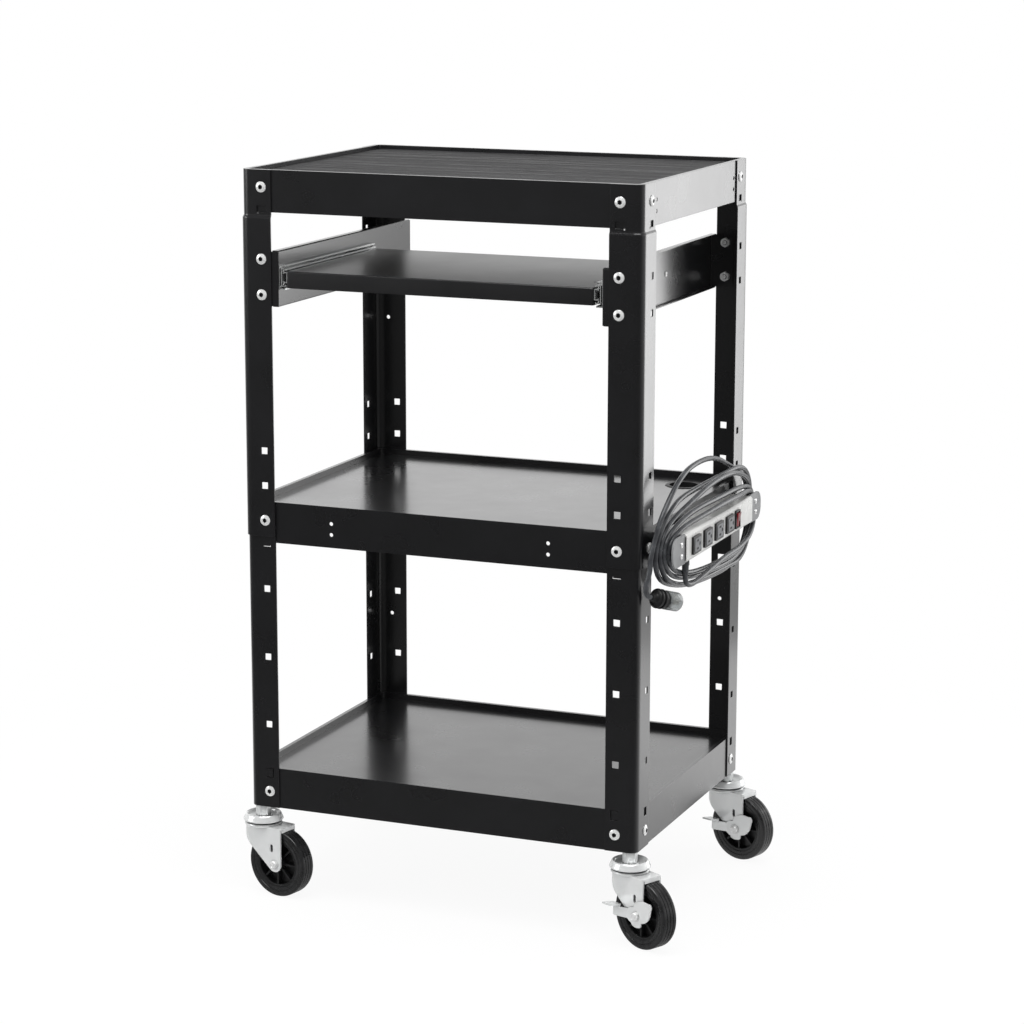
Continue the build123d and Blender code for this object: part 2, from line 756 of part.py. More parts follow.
def make_tray():
    """The tray brackets, the two slides and the keyboard tray."""
    half = SLIDE_HEIGHT / 2
    middle_half = half - RAIL_SHEET - RAIL_BALL_GAP
    inner_half = middle_half - RAIL_SHEET - RAIL_BALL_GAP
    clear = RAIL_SHEET + RETAINER_GAP
    outer = rail(rail_section(0, SLIDE_WIDTH - 2 * clear, half, RAIL_LIP), SLIDE_FRONT, SLIDE_LENGTH)
    middle = rail(
        rail_section(2 * clear, SLIDE_WIDTH - clear, middle_half, RAIL_LIP),
        SLIDE_FRONT,
        SLIDE_LENGTH,
    )
    inner = rail(
        rail_section(SLIDE_WIDTH, SLIDE_WIDTH / 2, inner_half, RAIL_LIP),
        SLIDE_FRONT,
        SLIDE_LENGTH,
    )
    bracket = tray_bracket()
    middle_z = SLIDE_LOW + half
    hole = Rot(0, -90, 0) * bore(PIN_R, -2 * BRACKET_SHEET, 2 * BRACKET_SHEET)
    face = BRACKET_INSET - HALF_WIDTH
    for place in SLIDE_SCREW_PLACES:
        spot = Pos(face, place - HALF_DEPTH, middle_z)
        bracket -= spot * hole
        outer -= spot * hole
        fixed = Pos(face - BRACKET_SHEET, place - HALF_DEPTH, middle_z) * Rot(0, -90, 0)
        keep("slide_screws", *both_sides(fixed * screw(BRACKET_SHEET + RAIL_SHEET)))
    retainer_height = RAIL_BALL_GAP - 2 * RETAINER_GAP
    outer_row = middle_half + RAIL_BALL_GAP / 2
    inner_row = inner_half + RAIL_BALL_GAP / 2
    back_start = SLIDE_FRONT + SLIDE_LENGTH - RETAINER_LENGTH
    retainer = Box(RETAINER_WIDTH, RETAINER_LENGTH, retainer_height)
    for row, start in ((outer_row, back_start), (inner_row, SLIDE_FRONT)):
        for up in (-1, 1):
            y = start + RETAINER_LENGTH / 2 - HALF_DEPTH
            spot = Pos(face + SLIDE_WIDTH / 2 + RETAINER_GAP, y, middle_z + up * row)
            keep("ball_retainers", *both_sides(spot * retainer))
    names = ("outer_rail", "middle_rail", "inner_rail")
    for name, solid in zip(names, (outer, middle, inner)):
        left, right = both_sides(solid)
        keep(name + "_left", left)
        keep(name + "_right", right)
    left, right = both_sides(bracket)
    keep("tray_bracket_left", left)
    keep("tray_bracket_right", right)

    half_x = HALF_WIDTH - BRACKET_INSET - SLIDE_WIDTH
    front = -HALF_DEPTH
    low = TRAY_TOP - TRAY_APRON
    tray = block((-half_x, front, low), (half_x, front + TRAY_DEPTH, TRAY_TOP))
    wall = TRAY_SHEET
    hollow_low = (wall - half_x, front + wall, low)
    hollow_high = (half_x - wall, front + TRAY_DEPTH - wall, TRAY_TOP - wall)
    tray -= block(hollow_low, hollow_high)
    hole_x = half_x - TRAY_HOLE_FROM_RIGHT
    tray -= Pos(hole_x, front + TRAY_HOLE_FROM_FRONT, TRAY_TOP) * bore(TRAY_HOLE_R, -2 * wall, wall)
    keep("keyboard_tray", tray)


def wheel_tyre():
    """The tyre in its own frame: axle along Z."""
    half = TREAD_WIDTH / 2
    inner = WHEEL_R - TYRE_DEPTH
    side = [
        (inner, half - CORE_INSET),
        (inner + BEAD_SLOPE, half),
        (WHEEL_R - TREAD_CHAMFER, half),
        (WHEEL_R, half - TREAD_CHAMFER),
    ]
    other = [(r, -z) for r, z in reversed(side)]
    return turned(side + other, WHEEL_SIDES)


def wheel_core():
    """The moulded core in its own frame: a rim and a hub joined by spokes."""
    rim_r = WHEEL_R - TYRE_DEPTH - RUNNING_GAP
    rim_half = TREAD_WIDTH / 2 - CORE_INSET
    hub_half = TREAD_WIDTH / 2 + FORK_GAP - HUB_GAP
    rim = rod(rim_r, -rim_half, rim_half, WHEEL_SIDES)
    rim -= rod(rim_r - RIM_WALL, -rim_half, rim_half, WHEEL_SIDES)
    core = rim + rod(HUB_R, -hub_half, hub_half)
    spoke_half = rim_half - CORE_INSET
    reach = rim_r - RIM_WALL / 2
    spoke = block((0, -SPOKE_SHEET / 2, -spoke_half), (reach, SPOKE_SHEET / 2, spoke_half))
    core += [Rot(0, 0, i * 360 / SPOKES) * spoke for i in range(SPOKES)]
    return core - bore(AXLE_R + RUNNING_GAP, -hub_half, hub_half)


def hulled(*circles):
    """The outline stretched round some circles, each (x, y, radius, sides)."""
    edges = ShapeList()
    for x, y, radius, sides in circles:
        edges += (Pos(x, y) * RegularPolygon(radius, sides)).edges()
    return make_hull(edges)


def fork():
    """The fork in the caster's frame: swivel axis on Z, wheel behind it along +X."""
    leg_in = TREAD_WIDTH / 2 + FORK_GAP
    leg_out = leg_in + FORK_SHEET
    crown_r = LOWER_RACE_R - RACE_GAP * 2
    crown = rod(crown_r, CROWN_LOW, LOWER_RACE_LOW)
    crown += block((0, -leg_out, CROWN_LOW), (LEDGE_REACH, leg_out, LOWER_RACE_LOW))
    race_low = LOWER_RACE_LOW
    race_top = race_low + LOWER_RACE_HEIGHT
    race = [
        (0, race_low),
        (LOWER_RACE_R, race_low),
        (LOWER_RACE_R, race_top - LOWER_RACE_HEIGHT / 2),
        (LOWER_RACE_R - LOWER_RACE_HEIGHT / 2, race_top),
        (0, race_top),
    ]
    front = -math.sqrt(crown_r**2 - leg_out**2)
    legs = make_hull(
        (Pos(TRAIL, WHEEL_R) * RegularPolygon(LEG_END_R, DISC_SIDES)).edges()
        + Line((front, CROWN_LOW), (LEDGE_REACH, CROWN_LOW)).edges()
    )
    slot_r = LEG_SLOT_WIDTH / 2
    slot_x = TRAIL - LEG_SLOT_WIDTH
    slot_low = WHEEL_R + LEG_SLOT_RISE - LEG_SLOT_LENGTH / 2 + slot_r
    slot_high = slot_low + LEG_SLOT_LENGTH - LEG_SLOT_WIDTH
    ends = [(slot_x, slot_low, slot_r, SMALL_SIDES), (slot_x, slot_high, slot_r, SMALL_SIDES)]
    legs -= hulled(*ends)
    leg = Pos(0, leg_out, 0) * extrude(Plane.XZ * legs, amount=FORK_SHEET)
    skirt = rod(crown_r, CROWN_LOW - SKIRT_DEPTH, CROWN_LOW)
    skirt -= rod(crown_r - FORK_SHEET, 0, CROWN_LOW)
    skirt -= block((front, -WHEEL_R, 0), (WHEEL_R, WHEEL_R, CROWN_LOW))
    body = crown + turned(race) + leg + mirror(leg, Plane.XZ) + skirt
    body -= bore(STEM_R + RUNNING_GAP, 0, POST_FOOT)
    axle_hole = rod(AXLE_R, -2 * leg_out, 2 * leg_out, SMALL_SIDES)
    return body - Pos(TRAIL, 0, WHEEL_R) * Rot(90, 0, 0) * axle_hole


def stem():
    """The caster's stem: rivet head, shaft, dished upper race and hexagonal shoulder."""
    low = CROWN_LOW - RUNNING_GAP
    tip = POST_FOOT + GUSSET_SHEET + STEM_NUT_HEIGHT + STEM_TIP
    shaft = rod(STEM_R, low, tip, SMALL_SIDES)
    rivet = rod(RIVET_R, low - RIVET_HEIGHT, low, BOLT_SIDES)
    top = HEX_LOW
    bowl = top - RACE_BOWL_DEPTH
    race = [
        (0, UPPER_RACE_LOW),
        (UPPER_RACE_R - RACE_GAP * 4, UPPER_RACE_LOW),
        (UPPER_RACE_R, UPPER_RACE_LOW + RACE_GAP * 4),
        (UPPER_RACE_R, top - UPPER_RACE_HEIGHT / 2),
        (UPPER_RACE_R - UPPER_RACE_HEIGHT / 2, top),
        (RACE_BOWL_R + RACE_BOWL_DEPTH / 2, top),
        (RACE_BOWL_R - RACE_BOWL_DEPTH / 2, bowl),
        (0, bowl),
    ]
    return shaft + rivet + turned(race) + hexagon(STEM_HEX, bowl, POST_FOOT)


def axle(braked):
    """The axle bolt with a nut at each end, in the caster's frame."""
    leg_out = TREAD_WIDTH / 2 + FORK_GAP + FORK_SHEET
    seat = leg_out + (BRAKE_SHEET + 2 * BRAKE_GAP if braked else 0)
    nut_end = seat + AXLE_NUT_HEIGHT
    bar = rod(AXLE_R, -leg_out, nut_end + AXLE_STUB, SMALL_SIDES)
    bar += hexagon(AXLE_NUT, seat, nut_end)
    bar += hexagon(AXLE_NUT, -leg_out - AXLE_NUT_HEIGHT, -leg_out)
    return Pos(TRAIL, 0, WHEEL_R) * Rot(90, 0, 0) * bar


def brake():
    """The brake lever: a plate round the axle with a lobe and a heel, and a pedal in front."""
    leg_out = TREAD_WIDTH / 2 + FORK_GAP + FORK_SHEET
    near = leg_out + BRAKE_GAP
    heel_x, heel_y = BRAKE_HEEL
    disc = (0, 0, BRAKE_DISC_R, DISC_SIDES)
    lobe = hulled(disc, (*BRAKE_LOBE, BRAKE_LOBE_R, BOLT_SIDES))
    heel = hulled(
        (heel_x, heel_y, BRAKE_HEEL_R, BOLT_SIDES),
        (-heel_x, heel_y, BRAKE_HEEL_R, BOLT_SIDES),
        (0, 0, BRAKE_DISC_R / 2, BOLT_SIDES),
    )
    arm_half = BRAKE_ARM_HEIGHT / 2
    arm = Pos(-BRAKE_ARM_REACH / 2, PEDAL_RISE - arm_half) * Rectangle(
        BRAKE_ARM_REACH, BRAKE_ARM_HEIGHT
    )
    eye = RegularPolygon(AXLE_R + RUNNING_GAP, SMALL_SIDES, major_radius=False)
    outline = lobe + heel + arm - eye
    solid = extrude(Plane.XZ * outline, amount=BRAKE_SHEET)
    pedal_low = PEDAL_RISE - BRAKE_SHEET
    tread = block(
        (-PEDAL_REACH, -PEDAL_WIDTH, pedal_low),
        (-BRAKE_ARM_REACH + BRAKE_SHEET, 0, PEDAL_RISE),
    )
    return Pos(TRAIL, -near, WHEEL_R) * (solid + tread)


def make_casters():
    """Four casters, two of them with a brake."""
    tyre = Pos(TRAIL, 0, WHEEL_R) * Rot(90, 0, 0) * wheel_tyre()
    core = Pos(TRAIL, 0, WHEEL_R) * Rot(90, 0, 0) * wheel_core()
    nut_low = POST_FOOT + GUSSET_SHEET
    top_nut = hexagon(STEM_NUT, nut_low, nut_low + STEM_NUT_HEIGHT)
    top_nut -= bore(STEM_R + RUNNING_GAP, nut_low, nut_low + STEM_NUT_HEIGHT)
    body = fork()
    for corner, (side, end) in CORNERS.items():
        spot = Pos(side * (HALF_WIDTH - STEM_INSET), end * (HALF_DEPTH - STEM_INSET), 0)
        place = spot * Rot(0, 0, HEADINGS[corner])
        braked = corner in BRAKED
        keep("caster_stems", spot * stem())
        keep("stem_nuts", spot * top_nut)
        keep("fork_" + corner, place * body)
        keep("axle_" + corner, place * axle(braked))
        keep("wheel_core_" + corner, place * core)
        keep("tyre_" + corner, place * tyre)
        if braked:
            keep("brake_" + corner, place * brake())


def on_strip(x, y, z):
    """A place on the power strip: out from the posts' right face, along it, and up from its middle."""
    return Pos(HALF_WIDTH + x, y, STRIP_MIDDLE + z)


def socket_places():
    """Where the sockets sit along the strip."""
    first = STRIP_SHIFT - STRIP_LENGTH / 2 + FIRST_SOCKET_SHARE * STRIP_LENGTH
    return [first + SOCKET_PITCH_SHARE * STRIP_LENGTH * i for i in range(SOCKETS)]


def make_strip():
    """The power strip: housing, end caps with ears, sockets, switch, stand-offs and screws."""
    half = STRIP_HEIGHT / 2
    face = STRIP_BACK + STRIP_DEPTH
    low_y = STRIP_SHIFT - STRIP_LENGTH / 2
    high_y = STRIP_SHIFT + STRIP_LENGTH / 2
    bevel = STRIP_CHAMFER
    outline = Polyline(
        (STRIP_BACK, -half),
        (face - bevel, -half),
        (face, bevel - half),
        (face, half - bevel),
        (face - bevel, half),
        (STRIP_BACK, half),
        close=True,
    )
    wall = STRIP_WALL
    tunnel = Pos(STRIP_BACK + STRIP_DEPTH / 2, 0) * Rectangle(
        STRIP_DEPTH - 2 * wall, STRIP_HEIGHT - 2 * wall
    )
    tunnel = tunnel & make_face(offset(outline, -wall, kind=Kind.INTERSECTION))
    housing = extrude(Plane.XZ * (make_face(outline) - tunnel), amount=-STRIP_LENGTH)
    housing = on_strip(0, low_y, 0) * housing
    socket_back = face + SOCKET_PROUD - SOCKET_DEPTH
    for y in socket_places():
        window = Box(4 * wall, SOCKET_WIDTH + 2 * SOCKET_FIT, SOCKET_HEIGHT + 2 * SOCKET_FIT)
        housing -= on_strip(face, y, 0) * window
        insert = Box(SOCKET_DEPTH, SOCKET_WIDTH, SOCKET_HEIGHT)
        for up in (-1, 1):
            slot = Box(2 * SLOT_DEPTH, SLOT_LENGTH, SLOT_THICK)
            insert -= Pos(SOCKET_DEPTH / 2, -SLOT_LENGTH / 4, up * SLOT_SPREAD) * slot
        ground = Rot(0, 90, 0) * bore(GROUND_R, -SLOT_DEPTH, SLOT_DEPTH)
        insert -= Pos(SOCKET_DEPTH / 2, GROUND_OFFSET, 0) * ground
        keep("socket_inserts", on_strip(socket_back + SOCKET_DEPTH / 2, y, 0) * insert)

    switch_y = high_y - SWITCH_SHARE * STRIP_LENGTH
    inner = Box(8 * wall, SWITCH_WIDTH + 2 * SWITCH_GAP, SWITCH_HEIGHT + 2 * SWITCH_GAP)
    bezel = Box(
        SWITCH_PROUD,
        SWITCH_WIDTH + 2 * SWITCH_GAP + 2 * SWITCH_WALL,
        SWITCH_HEIGHT + 2 * SWITCH_GAP + 2 * SWITCH_WALL,
    )
    housing -= on_strip(face, switch_y, 0) * inner
    keep("switch_bezel", on_strip(face + SWITCH_PROUD / 2, switch_y, 0) * (bezel - inner))
    reach = SWITCH_HEIGHT / 2 - SWITCH_GAP
    profile = Polyline(
        (ROCKER_CREST, 0),
        (ROCKER_SHOULDER, reach),
        (-ROCKER_ROOT, reach - ROCKER_ROOT_INSET),
        (-ROCKER_ROOT, ROCKER_ROOT_INSET - reach),
        (ROCKER_SHOULDER, -reach),
        close=True,
    )
    rocker = extrude(Plane.XZ * make_face(profile), amount=SWITCH_WIDTH / 2, both=True)
    keep("rocker_switch", on_strip(face, switch_y, 0) * Rot(0, ROCKER_TILT, 0) * rocker)

    gland_x = face - GLAND_FROM_FRONT
    gland_y = low_y + GLAND_FROM_END
    housing -= on_strip(gland_x, gland_y, -half) * bore(CORD_R, -wall, 2 * wall)
    keep("strip_housing", housing)
    relief = [
        (0, -GLAND_HEIGHT - RELIEF_LENGTH),
        (RELIEF_END_R, -GLAND_HEIGHT - RELIEF_LENGTH),
        (RELIEF_START_R, -GLAND_HEIGHT),
        (GLAND_R, -GLAND_HEIGHT),
        (GLAND_R, 0),
        (0, 0),
    ]
    keep("cord_gland", on_strip(gland_x, gland_y, -half) * turned(relief, BOLT_SIDES))

    for end, cap_y in ((-1, low_y), (1, high_y)):
        cap_end = cap_y + end * CAP_SHEET
        y = sorted((cap_y, cap_end))
        cap = block((STRIP_BACK, y[0], -half), (face - bevel, y[1], half))
        ear_y = sorted((cap_y, cap_y + end * EAR_LENGTH))
        ear_low = (EAR_BACK, ear_y[0], -EAR_HEIGHT / 2)
        ear = block(ear_low, (EAR_BACK + EAR_SHEET, ear_y[1], EAR_HEIGHT / 2))
        tip = ear.edges().filter_by(Axis.X).group_by(Axis.Y)[0 if end < 0 else -1]
        ear = fillet(tip, EAR_CORNER_R)
        hole_y = end * ACCESSORY_SPACING / 2
        for up in (-1, 1):
            hole = Pos(EAR_BACK, hole_y, up * ACCESSORY_GAP / 2) * Rot(0, 90, 0)
            ear -= hole * bore(PIN_R, -EAR_SHEET, 2 * EAR_SHEET)
        keep("strip_ends", on_strip(0, 0, 0) * (cap + ear))
        make_standoff(end)


def make_standoff(end):
    """One of the two brackets that hold the strip off the apron, with its screws."""
    base = -POST_SHEET
    sheet = STANDOFF_SHEET
    inner = end * (ACCESSORY_SPACING / 2 - STANDOFF_WIDTH / 2)
    outer = end * (ACCESSORY_SPACING / 2 + STANDOFF_WIDTH / 2)
    half = STANDOFF_HEIGHT / 2
    y = sorted((inner, outer))
    web_y = sorted((inner, inner + end * sheet))
    bracket = block((base, y[0], -half), (base + sheet, y[1], half))
    bracket += block((EAR_BACK - sheet, y[0], -half), (EAR_BACK, y[1], half))
    bracket += block((base, web_y[0], -half), (EAR_BACK, web_y[1], half))
    middle = end * ACCESSORY_SPACING / 2
    for up in (-1, 1):
        spot = Pos(0, middle, up * ACCESSORY_GAP / 2)
        bracket -= spot * Rot(0, 90, 0) * bore(PIN_R, -EAR_BACK, 2 * EAR_BACK)
        head_at = on_strip(base + sheet, middle, up * ACCESSORY_GAP / 2) * Rot(0, 90, 0)
        keep("standoff_screws", head_at * screw(sheet + SHELF_SHEET))
        ear_at = on_strip(EAR_BACK + EAR_SHEET, middle, up * ACCESSORY_GAP / 2) * Rot(0, 90, 0)
        keep("standoff_screws", ear_at * screw(sheet + EAR_SHEET))
    keep("strip_standoffs", on_strip(0, 0, 0) * bracket)


def quarter_points():
    """The winding's quarter points, headings and end shares, in order along the cord.

    A loop runs from its bottom up round the back stand-off, over the top to the front and down
    round the front stand-off. Each loop is wider than the one before it, and the tops rise and
    lean forward faster than the rest, so that the last ones stand up loose.
    """
    points = []
    for loop in range(LOOPS + 1):
        bottom = WIND_START
        if loop > 0:
            bottom_x = BOTTOM_X + BOTTOM_X_STEP * loop
            bottom = (bottom_x, WIND_START[1], -BOTTOM_DROP - BOTTOM_DROP_STEP * loop)
        back_y = ACCESSORY_SPACING / 2 + BACK_CLEAR + BACK_REACH_STEP * loop
        front_y = ACCESSORY_SPACING / 2 + FRONT_CLEAR + FRONT_REACH_STEP * loop
        back = (BACK_X + BACK_X_STEP * loop, back_y, 0)
        top_z = TOP_RISE + TOP_RISE_STEP * loop + TOP_RISE_SWELL * loop**2
        top = (TOP_X + TOP_X_STEP * loop, TOP_Y + TOP_Y_LEAN * loop**2, top_z)
        front = (FRONT_X + FRONT_X_STEP * loop, -front_y, 0)
        points.append((bottom, (0, 1, 0)))
        points.append((back, (0, 0, 1)))
        points.append((top, (0, -1, 0)))
        points.append((front, (0, 0, -1)))
    return points


def end_reach(end, other):
    """How far the arc at a loop's end keeps its upright heading, from the height that it climbs."""
    height = other[2] - end[2]
    if end[1] > 0:
        return BACK_SHARE * abs(height)
    share = FRONT_SHARE_ABOVE if height > 0 else FRONT_SHARE_BELOW
    return share * abs(height)


def biarc_joint(start, start_way, end, end_way, reach):
    """The point and heading where two arcs meet between two places with given headings."""
    span = end - start
    first = (span.dot(span) - 2 * reach * span.dot(end_way)) / (
        2 * (span.dot(start_way) + reach * (1 - start_way.dot(end_way)))
    )
    out = start + start_way * first
    back = end - end_way * reach
    joint = out + (back - out) * (first / (first + reach))
    return joint, (back - out).normalized()


def wound_edges(origin):
    """The winding's centre line: a straight start, two arcs for each quarter turn, a straight end."""
    quarters = [(Vector(*place), Vector(*way)) for place, way in quarter_points()]
    straight = 2 * CORD_R
    first, first_way = quarters[0]
    last, last_way = quarters[-1]
    edges = [Edge.make_line(origin + first - first_way * straight, origin + first)]
    for (a, a_way), (b, b_way) in zip(quarters, quarters[1:]):
        if abs(b_way.Z) > abs(b_way.Y):
            joint, way = biarc_joint(a, a_way, b, b_way, end_reach(tuple(b), tuple(a)))
        else:
            reach = end_reach(tuple(a), tuple(b))
            joint, way = biarc_joint(b, b_way * -1, a, a_way * -1, reach)
            way = way * -1
        edges.append(Edge.make_tangent_arc(origin + a, a_way, origin + joint))
        edges.append(Edge.make_tangent_arc(origin + joint, way, origin + b))
    edges.append(Edge.make_line(origin + last, origin + last + last_way * straight))
    return edges


def least_gap(edges):
    """The least gap between the wound tube's turns, measured on points along its centre line."""
    points = []
    for edge in edges:
        steps = max(2, round(edge.length / GAP_STEP))
        points += [tuple(edge.position_at(i / steps)) for i in range(steps)]
    apart = int(GAP_START * CORD_R / GAP_STEP) + 1
    least = math.inf
    for i, here in enumerate(points):
        for j in range(i + apart, len(points) - 1):
            if math.dist(here, points[j]) > least + GAP_STEP:
                continue
            least = min(least, point_to_run(here, points[j], points[j + 1]))
    return least - 2 * CORD_R


def point_to_run(point, start, end):
    """The distance from a point to a short straight run."""
    run = [b - a for a, b in zip(start, end)]
    away = [b - a for a, b in zip(start, point)]
    share = sum(a * b for a, b in zip(run, away)) / sum(a * a for a in run)
    share = min(1, max(0, share))
    near = [a + share * b for a, b in zip(start, run)]
    return math.dist(point, near)


def tube(path):
    """The cord's tube along a path."""
    section = Plane(origin=path @ 0, z_dir=path % 0) * RegularPolygon(CORD_R, CORD_SIDES)
    solid = sweep(section, path)
    share = solid.volume / (section.area * path.length)
    print("tube", round(path.length), "mm long, volume over section times length", round(share, 4))
    return solid


def route_radii(points):
    """The radius at each corner of a route: as large as its two runs allow."""
    radii = []
    for before, here, after in zip(points, points[1:], points[2:]):
        run_in = Vector(*here) - Vector(*before)
        run_out = Vector(*after) - Vector(*here)
        turn = math.radians(run_in.get_angle(run_out))
        radii.append(ROUTE_SHARE * min(run_in.length, run_out.length) / math.tan(turn / 2))
    return radii


def free_tube(points):
    """A free stretch of cord along straight runs joined by arcs."""
    radii = route_radii(points)
    print("radii", [round(radius, 1) for radius in radii])
    return tube(FilletPolyline(*points, radius=radii))


def lead_route():
    """From the strain relief under the housing to the start of the winding."""
    x = STRIP_BACK + STRIP_DEPTH - GLAND_FROM_FRONT
    y = STRIP_SHIFT - STRIP_LENGTH / 2 + GLAND_FROM_END
    z = -STRIP_HEIGHT / 2 - GLAND_HEIGHT - RELIEF_LENGTH
    start_x, start_y, start_z = WIND_START
    run = start_y - y
    return [
        (x, y, z),
        (x, y, z - 8),
        (x + 0.8, y + 6, z - 15.5),
        (x + 2, y + 20, z - 18.5),
        (x + 3.8, y + 0.22 * run, z - 16.5),
        (x + 5.3, y + 0.44 * run, z - 11),
        (start_x, y + 0.73 * run, start_z),
        (start_x, start_y - 2 * CORD_R, start_z),
    ]


def plug_back():
    """The middle of the plug's back face, where the cord goes in."""
    return [a + b for a, b in zip(quarter_points()[-1][0], PLUG_PLACE)]


def tail_route():
    """From the end of the winding down to the plug."""
    x, y, z = quarter_points()[-1][0]
    back = plug_back()
    return [
        (x, y, z - 2 * CORD_R),
        (x, y, z - 15),
        (x - 1.2, y - 3, z - 26),
        (x - 3, y - 5.5, z - 36),
        (x - 4.8, y - 5, z - 45.5),
        tuple(a - 2 * CORD_R * b for a, b in zip(back, PLUG_WAY)),
        tuple(back),
    ]


def make_cord():
    """The wound cord with its lead and its tail."""
    origin = Vector(HALF_WIDTH, 0, STRIP_MIDDLE)
    edges = wound_edges(origin)
    print("least gap in the winding", round(least_gap(edges), 2), "mm")
    keep("cord_winding", tube(Wire(edges)))
    for name, route in (("cord_lead", lead_route()), ("cord_end", tail_route())):
        keep(name, free_tube([tuple(origin + Vector(*point)) for point in route]))


def make_plug():
    """The plug, with its neck, rings and blades, and the clear cover over the blades."""
    neck = PLUG_NECK_LENGTH
    profile = [(0, 0), (PLUG_NECK_R, 0), (PLUG_SHOULDER_R, neck), (PLUG_R, neck)]
    for ring in range(PLUG_RINGS):
        low = neck + PLUG_RING + PLUG_RING_PITCH * ring
        profile.append((PLUG_R, low))
        profile.append((PLUG_RING_R, low))
        profile.append((PLUG_RING_R, low + PLUG_RING))
        profile.append((PLUG_R, low + PLUG_RING))
    profile += [(PLUG_R, PLUG_LENGTH), (0, PLUG_LENGTH)]
    body = turned(profile)
    tip = PLUG_LENGTH + BLADE_LENGTH
    for side in (-1, 1):
        middle = side * BLADE_SPREAD
        low = (middle - BLADE_SHEET / 2, -BLADE_WIDTH / 2, PLUG_LENGTH)
        body += block(low, (middle + BLADE_SHEET / 2, BLADE_WIDTH / 2, tip))
    ground = rod(PLUG_GROUND_R, PLUG_LENGTH, tip, SMALL_SIDES)
    body += Pos(0, PLUG_GROUND_OFFSET, 0) * ground

    inner = PLUG_R + COVER_FIT
    start = PLUG_LENGTH - COVER_LAP
    end = start + COVER_LENGTH
    cover = rod(inner + COVER_WALL, start, end) - rod(inner, start, end - COVER_WALL)

    at = Plane(origin=on_strip(*plug_back()).position, z_dir=PLUG_WAY)
    keep("plug", at * body)
    keep("plug_cover", at * cover)


def footprint():
    """The middle of the floor space under the casters and the frame."""
    low = [0.0, 0.0]
    high = [0.0, 0.0]
    for corner, (side, end) in CORNERS.items():
        turn = math.radians(HEADINGS[corner])
        way = (math.cos(turn), math.sin(turn))
        swivel = (side * (HALF_WIDTH - STEM_INSET), end * (HALF_DEPTH - STEM_INSET))
        for i in (0, 1):
            across = abs(way[1 - i]) * TREAD_WIDTH / 2
            hub = swivel[i] + TRAIL * way[i]
            wheel = abs(way[i]) * WHEEL_R + across
            low[i] = min(low[i], hub - wheel, swivel[i] - UPPER_RACE_R)
            high[i] = max(high[i], hub + wheel, swivel[i] + UPPER_RACE_R)
    return (low[0] + high[0]) / 2, (low[1] + high[1]) / 2


def write_nodes():
    """Write each node, with the origin on the floor under the middle of the cart."""
    middle = footprint()
    for name, solids in NODES.items():
        shape = Compound(solids).moved(Location((-middle[0], -middle[1], 0)))
        export_step(shape, "parts/" + name + ".step")


make_posts()
make_shelves()
make_mat()
make_fasteners()
make_tray()
make_casters()
make_strip()
make_cord()
make_plug()
write_nodes()
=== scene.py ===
import json
import logging
import math
from dataclasses import dataclass, field
from enum import Enum
from typing import Any, Sequence

import bmesh
import bpy
import numpy as np
from mathutils import Matrix, Vector
from mathutils.geometry import tessellate_polygon


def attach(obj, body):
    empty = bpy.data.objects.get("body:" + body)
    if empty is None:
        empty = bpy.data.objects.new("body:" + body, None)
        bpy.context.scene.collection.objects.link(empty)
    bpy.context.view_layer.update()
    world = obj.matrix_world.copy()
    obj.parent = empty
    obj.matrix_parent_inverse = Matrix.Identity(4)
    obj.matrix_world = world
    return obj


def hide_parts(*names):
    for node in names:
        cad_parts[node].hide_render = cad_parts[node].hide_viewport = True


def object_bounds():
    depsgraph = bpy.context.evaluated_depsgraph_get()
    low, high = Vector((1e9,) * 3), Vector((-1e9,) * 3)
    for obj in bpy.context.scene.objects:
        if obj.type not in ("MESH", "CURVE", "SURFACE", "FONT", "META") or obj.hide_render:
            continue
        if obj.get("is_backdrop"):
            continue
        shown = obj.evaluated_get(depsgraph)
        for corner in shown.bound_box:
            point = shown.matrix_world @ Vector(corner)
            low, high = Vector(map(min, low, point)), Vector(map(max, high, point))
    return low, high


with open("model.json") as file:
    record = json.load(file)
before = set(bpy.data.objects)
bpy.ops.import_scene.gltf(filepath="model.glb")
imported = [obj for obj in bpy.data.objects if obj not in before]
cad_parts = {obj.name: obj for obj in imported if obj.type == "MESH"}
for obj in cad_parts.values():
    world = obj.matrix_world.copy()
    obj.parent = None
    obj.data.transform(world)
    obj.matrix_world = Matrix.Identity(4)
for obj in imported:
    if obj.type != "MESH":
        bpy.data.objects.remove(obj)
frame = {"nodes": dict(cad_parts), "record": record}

LOG = logging.getLogger("cart")

# Lengths are in millimetres until a mesh is made: X right and Y back from the cart's middle, Z up.
# CENTRE is that middle in the frame that the solids share
MM = 0.001
CENTRE = (-26.575885, 9.360549, 0.0)
HALF_WIDTH = 301.5
HALF_DEPTH = 227.5
POST_SHEET = 1.9
POST_FOOT = 134.0
POST_TOP = 1068.3
STRIP_MIDDLE = 559.0
TAU = 2 * math.pi
# Middles of the holes in a post's flanges, in from the cart's side and end, and the heights of
# those that hold a bolt
FRONT_COLUMN = 32.0
SIDE_COLUMN = 36.0
LOW_BOLT = 158.5
MIDDLE_BOLT = 564.9
TOP_BOLT = 1043.8
BRACKET_BOLTS = (891.4, 942.2)
# Where the cord leaves its strain relief, from the strip's middle on the cart's right side
CORD_EXIT = (36.0, -137.0, -40.0)
# How open a place is when it counts as closed in and as free, and the colour of the painted
# shade in a closed corner
CLOSED_IN = 0.25
FREE = 0.75
PAINTED_SHADE_COLOUR = "#1e1f20"


